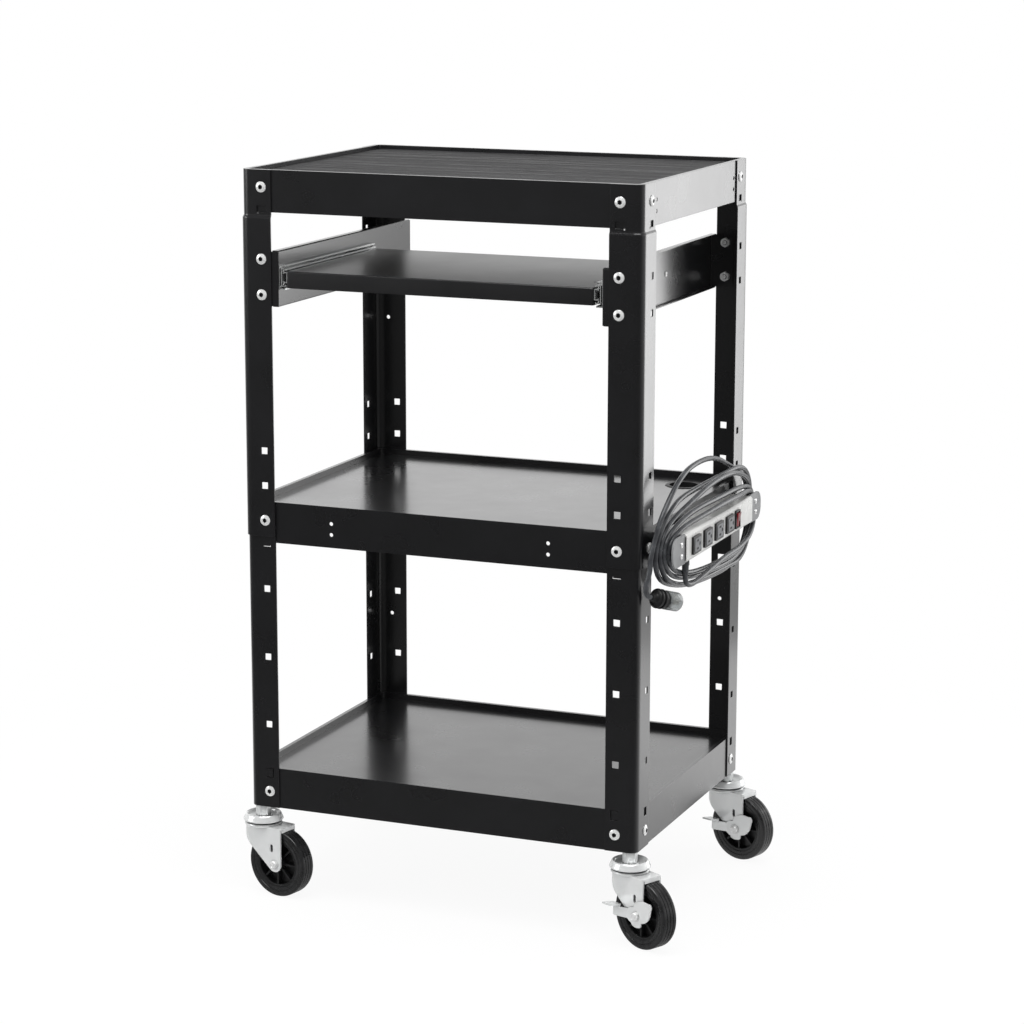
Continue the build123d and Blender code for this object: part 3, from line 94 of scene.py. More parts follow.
class Corner(Enum):
    """The four corners of the cart: which side, which end, and how its caster is turned."""

    FRONT_LEFT = (-1, -1, -11.8)
    FRONT_RIGHT = (1, -1, -26.5)
    BACK_RIGHT = (1, 1, -18.6)
    BACK_LEFT = (-1, 1, -15.0)

    @property
    def side(self) -> int:
        """Left is -1 and right is 1."""
        return self.value[0]

    @property
    def end(self) -> int:
        """Front is -1 and back is 1."""
        return self.value[1]

    @property
    def heading(self) -> float:
        """The caster's trail direction, in degrees from +X towards +Y."""
        return self.value[2]

    @property
    def label(self) -> str:
        """The corner's name as the nodes and bodies have it."""
        return self.name.lower()


class Flange(Enum):
    """The two flanges of a post."""

    FRONT = "front"
    SIDE = "side"


# Colours and nodes


def linear(hex_colour: str) -> tuple[float, float, float, float]:
    """Turn an sRGB hex colour into linear light.

    Args:
        hex_colour: six hex digits after a hash.

    Returns:
        Red, green, blue and alpha, with the sRGB curve undone channel by channel.
    """
    channels = [int(hex_colour[i : i + 2], 16) / 255 for i in (1, 3, 5)]
    red, green, blue = [
        c / 12.92 if c <= 0.04045 else ((c + 0.055) / 1.055) ** 2.4 for c in channels
    ]
    return red, green, blue, 1.0


def add_node(
    tree: bpy.types.NodeTree,
    kind: str,
    settings: dict[Any, Any] | None = None,
    links: dict[Any, Any] | None = None,
) -> bpy.types.Node:
    """Add one node with its settings and the links into it.

    Args:
        tree: the tree that gets the node.
        kind: the node's type name.
        settings: values by socket name or number, or by property name.
        links: output sockets by the input's name or number.

    Returns:
        The new node.
    """
    node = tree.nodes.new(kind)
    for key, value in (settings or {}).items():
        if isinstance(key, int) or key in node.inputs:
            node.inputs[key].default_value = value
        else:
            setattr(node, key, value)
    for key, source in (links or {}).items():
        tree.links.new(source, node.inputs[key])
    return node


@dataclass(frozen=True)
class Finish:
    """A surface finish: what it is made of and the fine relief that the eye reads on it.

    Every finish starts from one colour that drifts slowly to a second one, has a grain that is
    worked out from its real size, and a roughness that varies between two values. Where its shade
    is set, the colour is also darkened in corners and folds: painted shade.
    """

    name: str
    colour: str
    second: str
    slot: str
    roughness: tuple[float, float] = (0.4, 0.5)
    metallic: float = 0.0
    ior: float = 1.5
    grain: float = 1.0
    relief: float = 0.02
    drift: float = 60.0
    stretch: tuple[float, float, float] = (1.0, 1.0, 1.0)
    coat: float = 0.0
    coat_roughness: float = 0.2
    edge: float = 0.0
    # How far in millimetres the painted shade in corners and folds reaches; nought for none
    shade: float = 0.0
    transmission: float = 0.0
    streak: tuple[float, float, float] = (1.0, 1.0, 1.0)
    spread: tuple[float, float] = (0.3, 0.7)
    made: dict[str, bpy.types.Material] = field(default_factory=dict, compare=False)

    def material(self) -> bpy.types.Material:
        """The material of this finish, made once and shared."""
        if self.name not in self.made:
            self.made[self.name] = self.build()
        return self.made[self.name]

    def build(self) -> bpy.types.Material:
        """Make the material: slow drift of colour, fine grain in the relief and the roughness.

        Returns:
            The new material, on Object coordinates in metres.
        """
        material = bpy.data.materials.new(self.name)
        material.use_nodes = True
        tree = material.node_tree
        tree.nodes.clear()
        clouds, fine = self.patterns(tree)
        span = {"From Min": self.spread[0], "From Max": self.spread[1]}
        slow = add_node(tree, "ShaderNodeMapRange", span, {"Value": clouds}).outputs[0]
        tints = {"data_type": "RGBA", 6: linear(self.colour), 7: linear(self.second)}
        colour = add_node(tree, "ShaderNodeMix", tints, {0: slow}).outputs[2]
        # Painted shade: the colour darkened in corners and folds
        if self.shade > 0:
            colour = self.shaded(tree, colour)
        limits = {"To Min": self.roughness[0], "To Max": self.roughness[1]}
        gloss = add_node(tree, "ShaderNodeMapRange", limits, {"Value": slow})
        depth = {"Strength": 0.6, "Distance": self.relief * MM}
        bump = add_node(tree, "ShaderNodeBump", depth, {"Height": fine})
        if self.edge > 0:
            soft = add_node(tree, "ShaderNodeBevel", {"samples": 4, "Radius": self.edge * MM})
            tree.links.new(soft.outputs["Normal"], bump.inputs["Normal"])
        settings = {
            "Metallic": self.metallic, "Coat Weight": self.coat,
            "Coat Roughness": self.coat_roughness, "Transmission Weight": self.transmission,
        }
        if self.metallic < 1:
            settings["IOR"] = self.ior
        links = {"Base Color": colour, "Roughness": gloss.outputs[0], "Normal": bump.outputs[0]}
        shader = add_node(tree, "ShaderNodeBsdfPrincipled", settings, links)
        add_node(tree, "ShaderNodeOutputMaterial", None, {"Surface": shader.outputs[0]})
        return material

    def patterns(self, tree: bpy.types.NodeTree) -> list[bpy.types.NodeSocket]:
        """The slow drift and the fine grain, each a noise on its own stretched coordinates.

        Args:
            tree: the material's tree.

        Returns:
            The outputs of the drift and of the grain.
        """
        place = add_node(tree, "ShaderNodeTexCoord")
        drift = (self.streak, self.drift, 3.0, 0.55)
        grain = (self.stretch, self.grain, 2.0, 0.6)
        found = []
        for stretch, size, detail, rough in (drift, grain):
            links = {"Vector": place.outputs["Object"]}
            mapped = add_node(tree, "ShaderNodeMapping", {"Scale": stretch}, links)
            settings = {"Scale": 1 / (size * MM), "Detail": detail, "Roughness": rough}
            links = {"Vector": mapped.outputs["Vector"]}
            found.append(add_node(tree, "ShaderNodeTexNoise", settings, links).outputs[0])
        return found

    def shaded(
        self, tree: bpy.types.NodeTree, colour: bpy.types.NodeSocket
    ) -> bpy.types.NodeSocket:
        """Paint shade into a colour: darken it in corners and folds, where little light gets in.

        Args:
            tree: the material's tree.
            colour: the colour on the open faces.

        Returns:
            The colour, mixed towards the painted shade colour by how closed in the place is.
        """
        settings = {"samples": 6, "Distance": self.shade * MM}
        open_sky = add_node(tree, "ShaderNodeAmbientOcclusion", settings)
        span = {"From Min": CLOSED_IN, "From Max": FREE, "To Min": 1.0, "To Max": 0.0}
        share = add_node(tree, "ShaderNodeMapRange", span, {"Value": open_sky.outputs["AO"]})
        dark = {"data_type": "RGBA", 7: linear(PAINTED_SHADE_COLOUR)}
        links = {0: share.outputs[0], 6: colour}
        return add_node(tree, "ShaderNodeMix", dark, links).outputs[2]


# Powder coat, black, baked on steel: satin, with a fine orange peel of about 0.9 mm, and soft
# light along its bent edges
POWDER_COAT = Finish(
    "black powder coat", "#0c0c0e", "#101013", "black_powder_coat", roughness=(0.26, 0.32), ior=1.6,
    grain=0.9, relief=0.010, drift=90.0, coat=1.0, coat_roughness=0.18, edge=1.5,
)
# The drawer's powder coat is rougher and has less gloss, so it mirrors the room less
DULL_COAT = Finish(
    "dull black powder coat", "#0e0e10", "#131315", "black_powder_coat", roughness=(0.36, 0.42),
    ior=1.5, grain=0.8, relief=0.012, drift=80.0, coat=0.8, coat_roughness=0.28, edge=1.2,
)
# Bright zinc on pressed steel: pale, slightly clouded, rolled scratches too fine to see singly;
# its corners and folds darkened as painted shade
ZINC = Finish(
    "bright zinc on pressed steel", "#f7f8f8", "#eff1f1", "zinc_plate", roughness=(0.16, 0.22),
    metallic=0.4, grain=1.4, relief=0.003, drift=24.0, edge=0.4, shade=9.0,
)
# Chrome-like zinc on small turned heads: mirror bright with a faint turned haze, and painted
# shade in their corners
BRIGHT_HEAD = Finish(
    "bright plated bolt steel", "#fafaf9", "#f1f2f2", "bright_zinc", roughness=(0.14, 0.22),
    metallic=0.4, grain=0.8, relief=0.006, drift=6.0, shade=3.0,
)
# Near-black lining in the sockets of the bolt heads: painted shade in the recesses
SOCKET_SHADE_PAINT = Finish(
    "dark oxide in a bolt socket", "#1c1c1e", "#2a2a2c", "bright_zinc", roughness=(0.3, 0.4),
    metallic=0.6, grain=0.6, relief=0.01, drift=4.0,
)
# Rolled rail steel: zinc with the long grain of the strip along the slide, and painted shade in
# its corners
RAIL_STEEL = Finish(
    "rolled slide rail steel", "#d6d7d6", "#cbcdcd", "rail_steel", roughness=(0.2, 0.28),
    metallic=0.7, grain=1.0, relief=0.0015, drift=25.0, stretch=(1.0, 0.05, 1.0),
    streak=(1.0, 0.2, 1.0), shade=3.0,
)
# Natural rubber sheet: deep black, with long dusty and polished streaks along its ribs
MAT_RUBBER = Finish(
    "ribbed rubber sheet", "#0d0d0e", "#343435", "ribbed_rubber", roughness=(0.3, 0.75), grain=1.2,
    relief=0.03, drift=16.0, streak=(0.05, 1.0, 1.0), spread=(0.38, 0.62),
)
# Moulded tyre rubber: black with a soft sheen and turned marks round the tread
TYRE_RUBBER = Finish(
    "moulded tyre rubber", "#141415", "#232324", "tyre_rubber", roughness=(0.2, 0.4), grain=0.7,
    relief=0.015, drift=12.0, coat=0.3, coat_roughness=0.12,
)
# Glass-filled nylon: black, semi-gloss, with a flow texture of fractions of a millimetre
NYLON = Finish(
    "black moulded nylon", "#121213", "#1a1a1b", "black_nylon", roughness=(0.28, 0.42), grain=0.8,
    relief=0.015, drift=18.0,
)
# White enamel on an aluminium extrusion: smooth, with a little orange peel
ENAMEL = Finish(
    "white enamelled extrusion", "#d8d8d6", "#cfcfcd", "strip_enamel", roughness=(0.24, 0.34),
    grain=1.4, relief=0.01, drift=40.0, edge=0.5,
)
# Grey ABS end pieces: fine moulded grain
GREY_ABS = Finish(
    "grey moulded ABS", "#8c8d8e", "#7d7e80", "grey_plastic", roughness=(0.42, 0.52), grain=0.5,
    relief=0.02, drift=25.0, edge=0.6,
)
# Black paint on the small stand-off brackets
BLACK_PAINT = Finish(
    "black painted bracket", "#131315", "#1a1a1c", "standoff_steel", roughness=(0.3, 0.4),
    grain=0.8, relief=0.015, drift=20.0, edge=0.5,
)
# Black polycarbonate of the sockets and of the switch frame
SOCKET_BLACK = Finish(
    "black socket polycarbonate", "#0e0e0f", "#161617", "socket_plastic", roughness=(0.3, 0.42),
    grain=0.5, relief=0.01, drift=15.0,
)
# Dull grey facing round each socket's slots
SOCKET_FACE = Finish(
    "grey socket facing", "#737477", "#66686b", "socket_plastic", roughness=(0.35, 0.45), grain=0.5,
    relief=0.008, drift=15.0,
)
# Red lens of the lit switch: glossy, a little deep
RED_LENS = Finish(
    "red switch lens", "#8e1420", "#6f0d18", "red_rocker", roughness=(0.1, 0.18), grain=2.0,
    relief=0.004, drift=8.0, coat=0.5, coat_roughness=0.05,
)
# Flexible vinyl jacket: dark grey, glossy, with faint drawn lines and handling marks
VINYL = Finish(
    "flexible vinyl jacket", "#2f3033", "#505255", "cord_jacket", roughness=(0.18, 0.3), grain=0.9,
    relief=0.02, drift=22.0,
)
# Plug body: soft vinyl, near black
PLUG_VINYL = Finish(
    "soft plug vinyl", "#161617", "#1f1f20", "plug_plastic", roughness=(0.34, 0.48), grain=0.6,
    relief=0.02, drift=10.0,
)
# Brass blades with a thin nickel wash
BLADE_METAL = Finish(
    "nickel-washed blade", "#c9c5b8", "#b5b0a2", "plug_plastic", roughness=(0.2, 0.32),
    metallic=1.0, grain=0.8, relief=0.006, drift=6.0,
)
# Clear soft vinyl cap: cloudy, wet-looking at its rims
CLEAR_VINYL = Finish(
    "clear soft vinyl cap", "#dfe2e2", "#cfd3d3", "clear_cover", roughness=(0.12, 0.24), ior=1.45,
    grain=2.5, relief=0.02, drift=8.0, transmission=0.85,
)


# Shapes: points and faces held as whole arrays


@dataclass
class Surface:
    """Points in millimetres and the faces between them."""

    points: np.ndarray
    faces: list[list[int]]

    def moved(self, x: float = 0.0, y: float = 0.0, z: float = 0.0) -> "Surface":
        """The surface shifted by a distance along each axis."""
        return Surface(self.points + np.array((x, y, z)), self.faces)

    def turned(self, degrees: float, axis: str = "Z") -> "Surface":
        """The surface turned about one axis through the origin."""
        matrix = np.array(Matrix.Rotation(math.radians(degrees), 3, axis))
        return Surface(self.points @ matrix.T, self.faces)

    def scaled(self, x: float = 1.0, y: float = 1.0, z: float = 1.0) -> "Surface":
        """The surface stretched along each axis; a negative factor mirrors it."""
        faces = self.faces
        if x * y * z < 0:
            faces = [list(reversed(face)) for face in faces]
        return Surface(self.points * np.array((x, y, z)), faces)

    def swapped(self, order: tuple[int, int, int]) -> "Surface":
        """The surface with its axes in another order."""
        return Surface(self.points[:, order], self.faces)


def merged(surfaces: Sequence[Surface]) -> Surface:
    """Join surfaces into one, with each one's faces counted on from the points before it.

    Args:
        surfaces: the surfaces to join.

    Returns:
        One surface with all their points.
    """
    points = np.vstack([surface.points for surface in surfaces])
    faces: list[list[int]] = []
    start = 0
    for surface in surfaces:
        faces += [[index + start for index in face] for face in surface.faces]
        start += len(surface.points)
    return Surface(points, faces)


def sheet(points: np.ndarray, wrap_u: bool = False, wrap_v: bool = False) -> Surface:
    """A surface from a grid of points.

    Args:
        points: an array of rows, columns and three coordinates.
        wrap_u: whether the last row joins the first.
        wrap_v: whether the last column joins the first.

    Returns:
        Four-sided faces between each point, the next one along the row, and the row after.
    """
    rows, columns = points.shape[:2]
    index = np.arange(rows * columns).reshape(rows, columns)
    if wrap_u:
        index = np.vstack([index, index[:1]])
    if wrap_v:
        index = np.hstack([index, index[:, :1]])
    quads = np.stack([index[:-1, :-1], index[1:, :-1], index[1:, 1:], index[:-1, 1:]], -1)
    return Surface(points.reshape(-1, 3), quads.reshape(-1, 4).tolist())


def turned(profile: Sequence[tuple[float, float]], sides: int = 48) -> Surface:
    """A turned form: each (radius, height) of a closed profile carried round the Z axis.

    Args:
        profile: the closed profile.
        sides: the number of points round the axis.

    Returns:
        The ring-shaped or solid form.
    """
    rings = np.array(profile)
    angle = np.arange(sides) * TAU / sides
    x = rings[:, :1] * np.cos(angle)
    y = rings[:, :1] * np.sin(angle)
    z = np.repeat(rings[:, 1:2], sides, axis=1)
    return sheet(np.stack([x, y, z], -1), wrap_u=True, wrap_v=True)


def shaped(radii: np.ndarray, heights: Sequence[float]) -> Surface:
    """A stack of rings about Z whose radius changes with the angle.

    Args:
        radii: one row for each ring, one column for each angle.
        heights: the height of each ring.

    Returns:
        The surface between the rings, closed at both ends by its poles where a row is zero.
    """
    sides = radii.shape[1]
    angle = np.arange(sides) * TAU / sides
    z = np.repeat(np.array(heights)[:, None], sides, axis=1)
    points = np.stack([radii * np.cos(angle), radii * np.sin(angle), z], -1)
    return sheet(points, wrap_v=True)


def plate(
    outline: np.ndarray, low: float, high: float, holes: Sequence[np.ndarray] = ()
) -> Surface:
    """A flat plate: an outline in X and Y with holes, between two heights.

    The two faces are the outline with its holes cut into triangles, and a wall of four-sided
    faces runs round each loop between them.

    Args:
        outline: the outer loop.
        low: the height of the lower face.
        high: the height of the upper face.
        holes: the loops inside it.

    Returns:
        The closed plate.
    """
    loops = [np.asarray(outline), *[np.asarray(hole) for hole in holes]]
    flat = np.vstack(loops)
    count = len(flat)
    cuts = tessellate_polygon([[Vector((x, y, 0)) for x, y in loop] for loop in loops])
    faces = [[a, b, c] for a, b, c in cuts]
    faces += [[c + count, b + count, a + count] for a, b, c in cuts]
    start = 0
    for loop in loops:
        index = np.arange(len(loop)) + start
        after = np.roll(index, -1)
        wall = np.stack([index, after, after + count, index + count], -1)
        faces += wall.tolist()
        start += len(loop)
    low_points = np.column_stack([flat, np.full(count, low)])
    high_points = np.column_stack([flat, np.full(count, high)])
    return Surface(np.vstack([low_points, high_points]), faces)


def hull(circles: Sequence[tuple[float, float, float]], sides: int = 72) -> np.ndarray:
    """The outline stretched round some circles, each (x, y, radius).

    For each direction the circle that reaches furthest along it gives the point: its centre plus
    its radius along that direction.

    Args:
        circles: the circles.
        sides: the number of directions.

    Returns:
        The outline's points, without doubles.
    """
    angle = np.arange(sides) * TAU / sides
    way = np.stack([np.cos(angle), np.sin(angle)], -1)
    rings = np.array(circles)
    reach = way @ rings[:, :2].T + rings[:, 2]
    chosen = rings[np.argmax(reach, axis=1)]
    points = chosen[:, :2] + chosen[:, 2:] * way
    apart = np.linalg.norm(points - np.roll(points, 1, axis=0), axis=1)
    return points[apart > 1e-4]


def circle(x: float, y: float, radius: float, sides: int = 24) -> np.ndarray:
    """A round outline about a point."""
    angle = np.arange(sides) * TAU / sides
    return np.stack([x + radius * np.cos(angle), y + radius * np.sin(angle)], -1)


def box_outline(width: float, height: float, radius: float, per_corner: int = 5) -> np.ndarray:
    """A rectangle with rounded corners about the origin, as the hull of four circles.

    Args:
        width: its size along X.
        height: its size along Y.
        radius: of its corners.
        per_corner: half the number of directions that each corner covers.

    Returns:
        The outline's points.
    """
    x = width / 2 - radius
    y = height / 2 - radius
    corners = [(x, y, radius), (-x, y, radius), (-x, -y, radius), (x, -y, radius)]
    return hull(corners, per_corner * 8)


def ribbon(path: np.ndarray, thickness: float) -> np.ndarray:
    """The outline of a bent sheet seen from its end: a line and the same line set in.

    Each point moves square to the mean direction of the two runs that meet there, to the right
    of the way along the line, by the thickness over the cosine of half the turn.

    Args:
        path: the line's points.
        thickness: how far the second line is set in.

    Returns:
        The first line's points, then the second's from its end.
    """
    runs = np.diff(path, axis=0)
    runs /= np.linalg.norm(runs, axis=1)[:, None]
    way = np.vstack([runs[:1], runs[:-1] + runs[1:], runs[-1:]])
    way /= np.linalg.norm(way, axis=1)[:, None]
    first = np.vstack([runs[:1], runs])
    part = np.sum(first * way, axis=1)[:, None]
    inwards = np.stack([way[:, 1], -way[:, 0]], -1)
    return np.vstack([path, (path + inwards * thickness / part)[::-1]])


def bent_line(corners: Sequence[tuple[float, float]], radius: float, steps: int = 7) -> np.ndarray:
    """A line through some corners, each turned with an arc of one radius.

    The arc starts and ends where the two runs leave the corner by the radius times the tangent of
    half the turn, and its points blend the two runs' normals by sines, so they keep the radius.

    Args:
        corners: the points that the line turns at, with its two ends.
        radius: of each bend.
        steps: the number of points of an arc.

    Returns:
        The line's points.
    """
    found = [np.array(corners[0])[None]]
    for before, corner, after in zip(corners, corners[1:], corners[2:]):
        back = np.array(before) - corner
        ahead = np.array(after) - corner
        back /= np.linalg.norm(back)
        ahead /= np.linalg.norm(ahead)
        half = math.acos(float(np.clip(back @ ahead, -1, 1))) / 2
        middle = corner + (back + ahead) / np.linalg.norm(back + ahead) * radius / math.sin(half)
        reach = radius / math.tan(half)
        from_way = corner + back * reach - middle
        to_way = corner + ahead * reach - middle
        share = np.linspace(0, 1, steps)[:, None]
        total = math.pi - 2 * half
        blend = np.sin((1 - share) * total) * from_way + np.sin(share * total) * to_way
        found.append(middle + blend / math.sin(total))
    found.append(np.array(corners[-1])[None])
    return np.vstack(found)


def joined_outline(outlines: Sequence[np.ndarray], sides: int = 240) -> np.ndarray:
    """The outline round several shapes that all hold the origin.

    In each direction from the origin the shape that reaches furthest gives the point.

    Args:
        outlines: the shapes.
        sides: the number of directions.

    Returns:
        The outline's points.
    """
    angle = np.arange(sides) * TAU / sides
    reach = np.zeros(sides)
    for outline in outlines:
        at = np.arctan2(outline[:, 1], outline[:, 0])
        order = np.argsort(at)
        far = np.linalg.norm(outline, axis=1)
        reach = np.maximum(reach, np.interp(angle, at[order], far[order], period=TAU))
    return np.stack([reach * np.cos(angle), reach * np.sin(angle)], -1)


def block(low: Sequence[float], high: Sequence[float]) -> Surface:
    """A plain slab between two corners, whose edges the bevel rounds."""
    outline = np.array([(low[0], low[1]), (high[0], low[1]), (high[0], high[1]), (low[0], high[1])])
    return plate(outline, low[2], high[2])


def hexagon_radius(across: float, sides: int) -> np.ndarray:
    """The reach of a hexagon in each direction: half its width over the cosine from a flat.

    Args:
        across: the width over its flats.
        sides: the number of directions.

    Returns:
        One reach for each direction.
    """
    angle = np.arange(sides) * TAU / sides
    from_flat = np.mod(angle + TAU / 12, TAU / 6) - TAU / 12
    return across / 2 / np.cos(from_flat)


def hex_bar(across: float, low: float, high: float, chamfer: float = 0.6) -> Surface:
    """A hexagonal bar whose corners are turned off at both ends.

    Args:
        across: the width over its flats.
        low: the height of its lower end.
        high: the height of its upper end.
        chamfer: how far the turning runs along it.

    Returns:
        The closed bar.
    """
    sides = 48
    full = hexagon_radius(across, sides)
    end = np.minimum(full, across / 2 + 0.1)
    none = np.zeros(sides)
    rows = np.stack([none, end, full, full, end, none])
    return shaped(rows, [low, low, low + chamfer, high - chamfer, high, high])


def ball(radius: float, sides: int = 10) -> Surface:
    """A small ball: rings whose radius is the sine of the angle from its pole.

    Args:
        radius: of the ball.
        sides: the points of a ring.

    Returns:
        The closed ball.
    """
    fall = np.linspace(0, math.pi, sides // 2 + 1)
    rows = np.repeat(radius * np.sin(fall)[:, None], sides, axis=1)
    return shaped(rows, -radius * np.cos(fall))


# Pieces


def dress(names: Sequence[str], finish: Finish) -> None:
    """Give CAD nodes whose shape is right a finish in all their material slots.

    Args:
        names: the nodes.
        finish: what they are made of.
    """
    for name in names:
        mesh = frame["nodes"][name].data
        mesh.materials.clear()
        mesh.materials.append(finish.material())
        LOG.info("node %s: %s", name, finish.name)


def piece(
    name: str,
    surfaces: Sequence[Surface],
    finish: Finish,
    body: str,
    replaces: Sequence[str] = (),
    bevel: float = 0.0,
    sharp: float = 38.0,
) -> bpy.types.Object:
    """Make one object from surfaces, with its place in its mesh.

    Args:
        name: the object's name.
        surfaces: the surfaces in millimetres about the cart's middle.
        finish: what it is made of.
        body: the CAD body that it rides on.
        replaces: CAD nodes that it stands for.
        bevel: width of the rounding on its edges, in millimetres.
        sharp: the angle in degrees over which an edge stays sharp.

    Returns:
        The object, welded, with its normals outwards, smooth between its sharp edges.
    """
    whole = merged(surfaces)
    points = (whole.points + np.array(CENTRE)) * MM
    mesh = bpy.data.meshes.new(name)
    mesh.from_pydata(points.tolist(), [], whole.faces)
    work = bmesh.new()
    work.from_mesh(mesh)
    bmesh.ops.remove_doubles(work, verts=work.verts, dist=2e-6)
    bmesh.ops.dissolve_degenerate(work, edges=work.edges, dist=1e-6)
    bmesh.ops.recalc_face_normals(work, faces=work.faces)
    limit = math.radians(sharp)
    for edge in work.edges:
        edge.smooth = len(edge.link_faces) == 2 and edge.calc_face_angle(0.0) < limit
    work.to_mesh(mesh)
    work.free()
    mesh.polygons.foreach_set("use_smooth", np.ones(len(mesh.polygons), bool))
    mesh.materials.append(finish.material())
    thing = bpy.data.objects.new(name, mesh)
    bpy.context.scene.collection.objects.link(thing)
    if bevel > 0:
        rounding = thing.modifiers.new("rounded edges", "BEVEL")
        rounding.width = bevel * MM
        rounding.segments = 2
        rounding.limit_method = "ANGLE"
        rounding.angle_limit = limit
        rounding.harden_normals = True
    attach(thing, body)
    if replaces:
        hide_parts(*replaces)
    LOG.info("piece %s: %d points on %s", name, len(points), body)
    return thing


def at_corner(surface: Surface, corner: Corner) -> Surface:
    """Take a surface drawn at the front left corner to another corner of the frame."""
    mirrored = surface.scaled(-corner.side, -corner.end)
    return mirrored.moved(corner.side * HALF_WIDTH, corner.end * HALF_DEPTH)


@dataclass
class SteelFrame:
    """The folded posts and shelves, with the bolts and nuts that hold them."""

    head_radius: float = 7.7
    head_height: float = 3.2
    head_sides: int = 36
    dome_fall: float = 0.62
    dome_power: float = 2.6
    dome_set: float = 0.15
    recess_share: float = 0.5
    recess_across: float = 5.6
    recess_depth: float = 2.4
    recess_wall: float = 0.25
    nut_across: float = 13.0
    nut_height: float = 6.0
    neck_half: float = 4.9
    shelf_bolts: tuple[tuple[float, float, float], ...] = (
        (LOW_BOLT, 0.0, 3.1), (MIDDLE_BOLT, -POST_SHEET, 3.1), (TOP_BOLT, 0.0, 3.1),
    )
    bracket_bolts: tuple[tuple[float, float, float], ...] = (
        (BRACKET_BOLTS[1], -POST_SHEET, 1.5), (BRACKET_BOLTS[0], -POST_SHEET, 1.5),
    )

    def dome(self, share: float | np.ndarray) -> float | np.ndarray:
        """The height of a head's dome at some share of its radius."""
        return self.head_height * (1 - self.dome_fall * share**self.dome_power) - self.dome_set

    def head(self) -> Surface:
        """A low domed head with a hexagonal recess.

        The dome's height falls off as a power of the radius, and the recess is a hexagon whose
        reach is set by the angle from its nearest flat.

        Returns:
            The head, with its seat at nought and its dome up Z.
        """
        sides = self.head_sides
        share = np.linspace(1.0, self.recess_share, 7)
        dome_r = self.head_radius * share
        dome_z = self.dome(share)
        hexagon = hexagon_radius(self.recess_across + 2 * self.recess_wall, sides)
        rows = [np.zeros(sides), np.full(sides, self.head_radius)]
        heights = [0.0, 0.0]
        for r, z in zip(dome_r, dome_z):
            rows.append(np.full(sides, r))
            heights.append(z)
        rows += [hexagon, hexagon, np.zeros(sides)]
        lip = dome_z[-1]
        heights += [lip, lip - self.recess_depth, lip - self.recess_depth - 0.5]
        return shaped(np.stack(rows), heights)

    def recess(self) -> Surface:
        """The hexagonal cup in a head: a thin wall round a six-sided hole with a shallow cone.

        Its dark finish is painted shade in the head's socket.

        Returns:
            The cup, in the same place as the head's recess.
        """
        sides = self.head_sides
        inner = hexagon_radius(self.recess_across, sides)
        outer = inner + self.recess_wall
        none = np.zeros(sides)
        lip = self.dome(self.recess_share)
        low = lip - self.recess_depth
        rows = [none, inner, inner, outer, outer, none]
        return shaped(np.stack(rows), [low + 0.1, low + 0.3, lip, lip - 0.05, low, low - 0.2])

    def neck(self, grip: float) -> Surface:
        """The square neck under a head."""
        half = self.neck_half
        return block((-half, -half, -grip), (half, half, 0.1))

    def nut(self, grip: float) -> Surface:
        """A hexagon nut with turned corners, a countersink, and the bolt's end standing out.

        Args:
            grip: from the head's seat to the nut's, through the sheets.

        Returns:
            The nut, under the head.
        """
        sides = 48
        full = hexagon_radius(self.nut_across, sides)
        turned_off = np.minimum(full, self.nut_across / 2 + 0.15)
        none = np.zeros(sides)
        ring = np.ones(sides)
        low = -grip - self.nut_height
        rows = [none, 2.4 * ring, 3.0 * ring, 3.0 * ring, 4.2 * ring, turned_off, full, full, none]
        heights = [low - 1.6, low - 1.6, low - 1.0, low + 0.9, low, low, low + 1.0, -grip, -grip]
        return shaped(np.stack(rows), heights)

    def placed(self, shape: Surface, flange: Flange, height: float, outer: float) -> Surface:
        """Take a bolt or nut that points up Z to its hole in a flange at the front left.

        Args:
            shape: the bolt or nut.
            flange: the flange that it goes through.
            height: of the hole's middle.
            outer: how far in from the cart's side or end the head's seat is.

        Returns:
            The shape in its place.
        """
        if flange is Flange.FRONT:
            return shape.turned(90, "X").moved(FRONT_COLUMN, outer, height)
        return shape.turned(-90, "Y").moved(outer, SIDE_COLUMN, height)

    def build(self) -> None:
        """Dress the shelves and make the posts, the bolts and the nuts."""
        dress(["bottom_shelf", "middle_shelf", "top_shelf", "corner_gussets"], POWDER_COAT)
        for corner in Corner:
            FoldedPost(corner, upper=False).build()
            FoldedPost(corner, upper=True).build()
        heads: list[Surface] = []
        shade_cups: list[Surface] = []
        nuts: list[Surface] = []
        for rows, flanges in (
            (self.shelf_bolts, (Flange.FRONT, Flange.SIDE)), (self.bracket_bolts, (Flange.FRONT,)),
        ):
            for height, outer, inner in rows:
                grip = inner - outer
                for flange in flanges:
                    bolt = merged([self.head(), self.neck(grip)])
                    bolt = self.placed(bolt, flange, height, outer)
                    nut = self.placed(self.nut(grip), flange, height, outer)
                    cup = self.placed(self.recess(), flange, height, outer)
                    heads += [at_corner(bolt, corner) for corner in Corner]
                    shade_cups += [at_corner(cup, corner) for corner in Corner]
                    nuts += [at_corner(nut, corner) for corner in Corner]
        piece("frame_bolt_heads", heads, BRIGHT_HEAD, "frame", ["frame_bolts"])
        # Painted shade: a dark cup lining the socket of each bolt head
        piece("frame_bolt_socket_shade", shade_cups, SOCKET_SHADE_PAINT, "frame", [])
        piece("frame_hex_nuts", nuts, BRIGHT_HEAD, "frame", ["frame_nuts"])


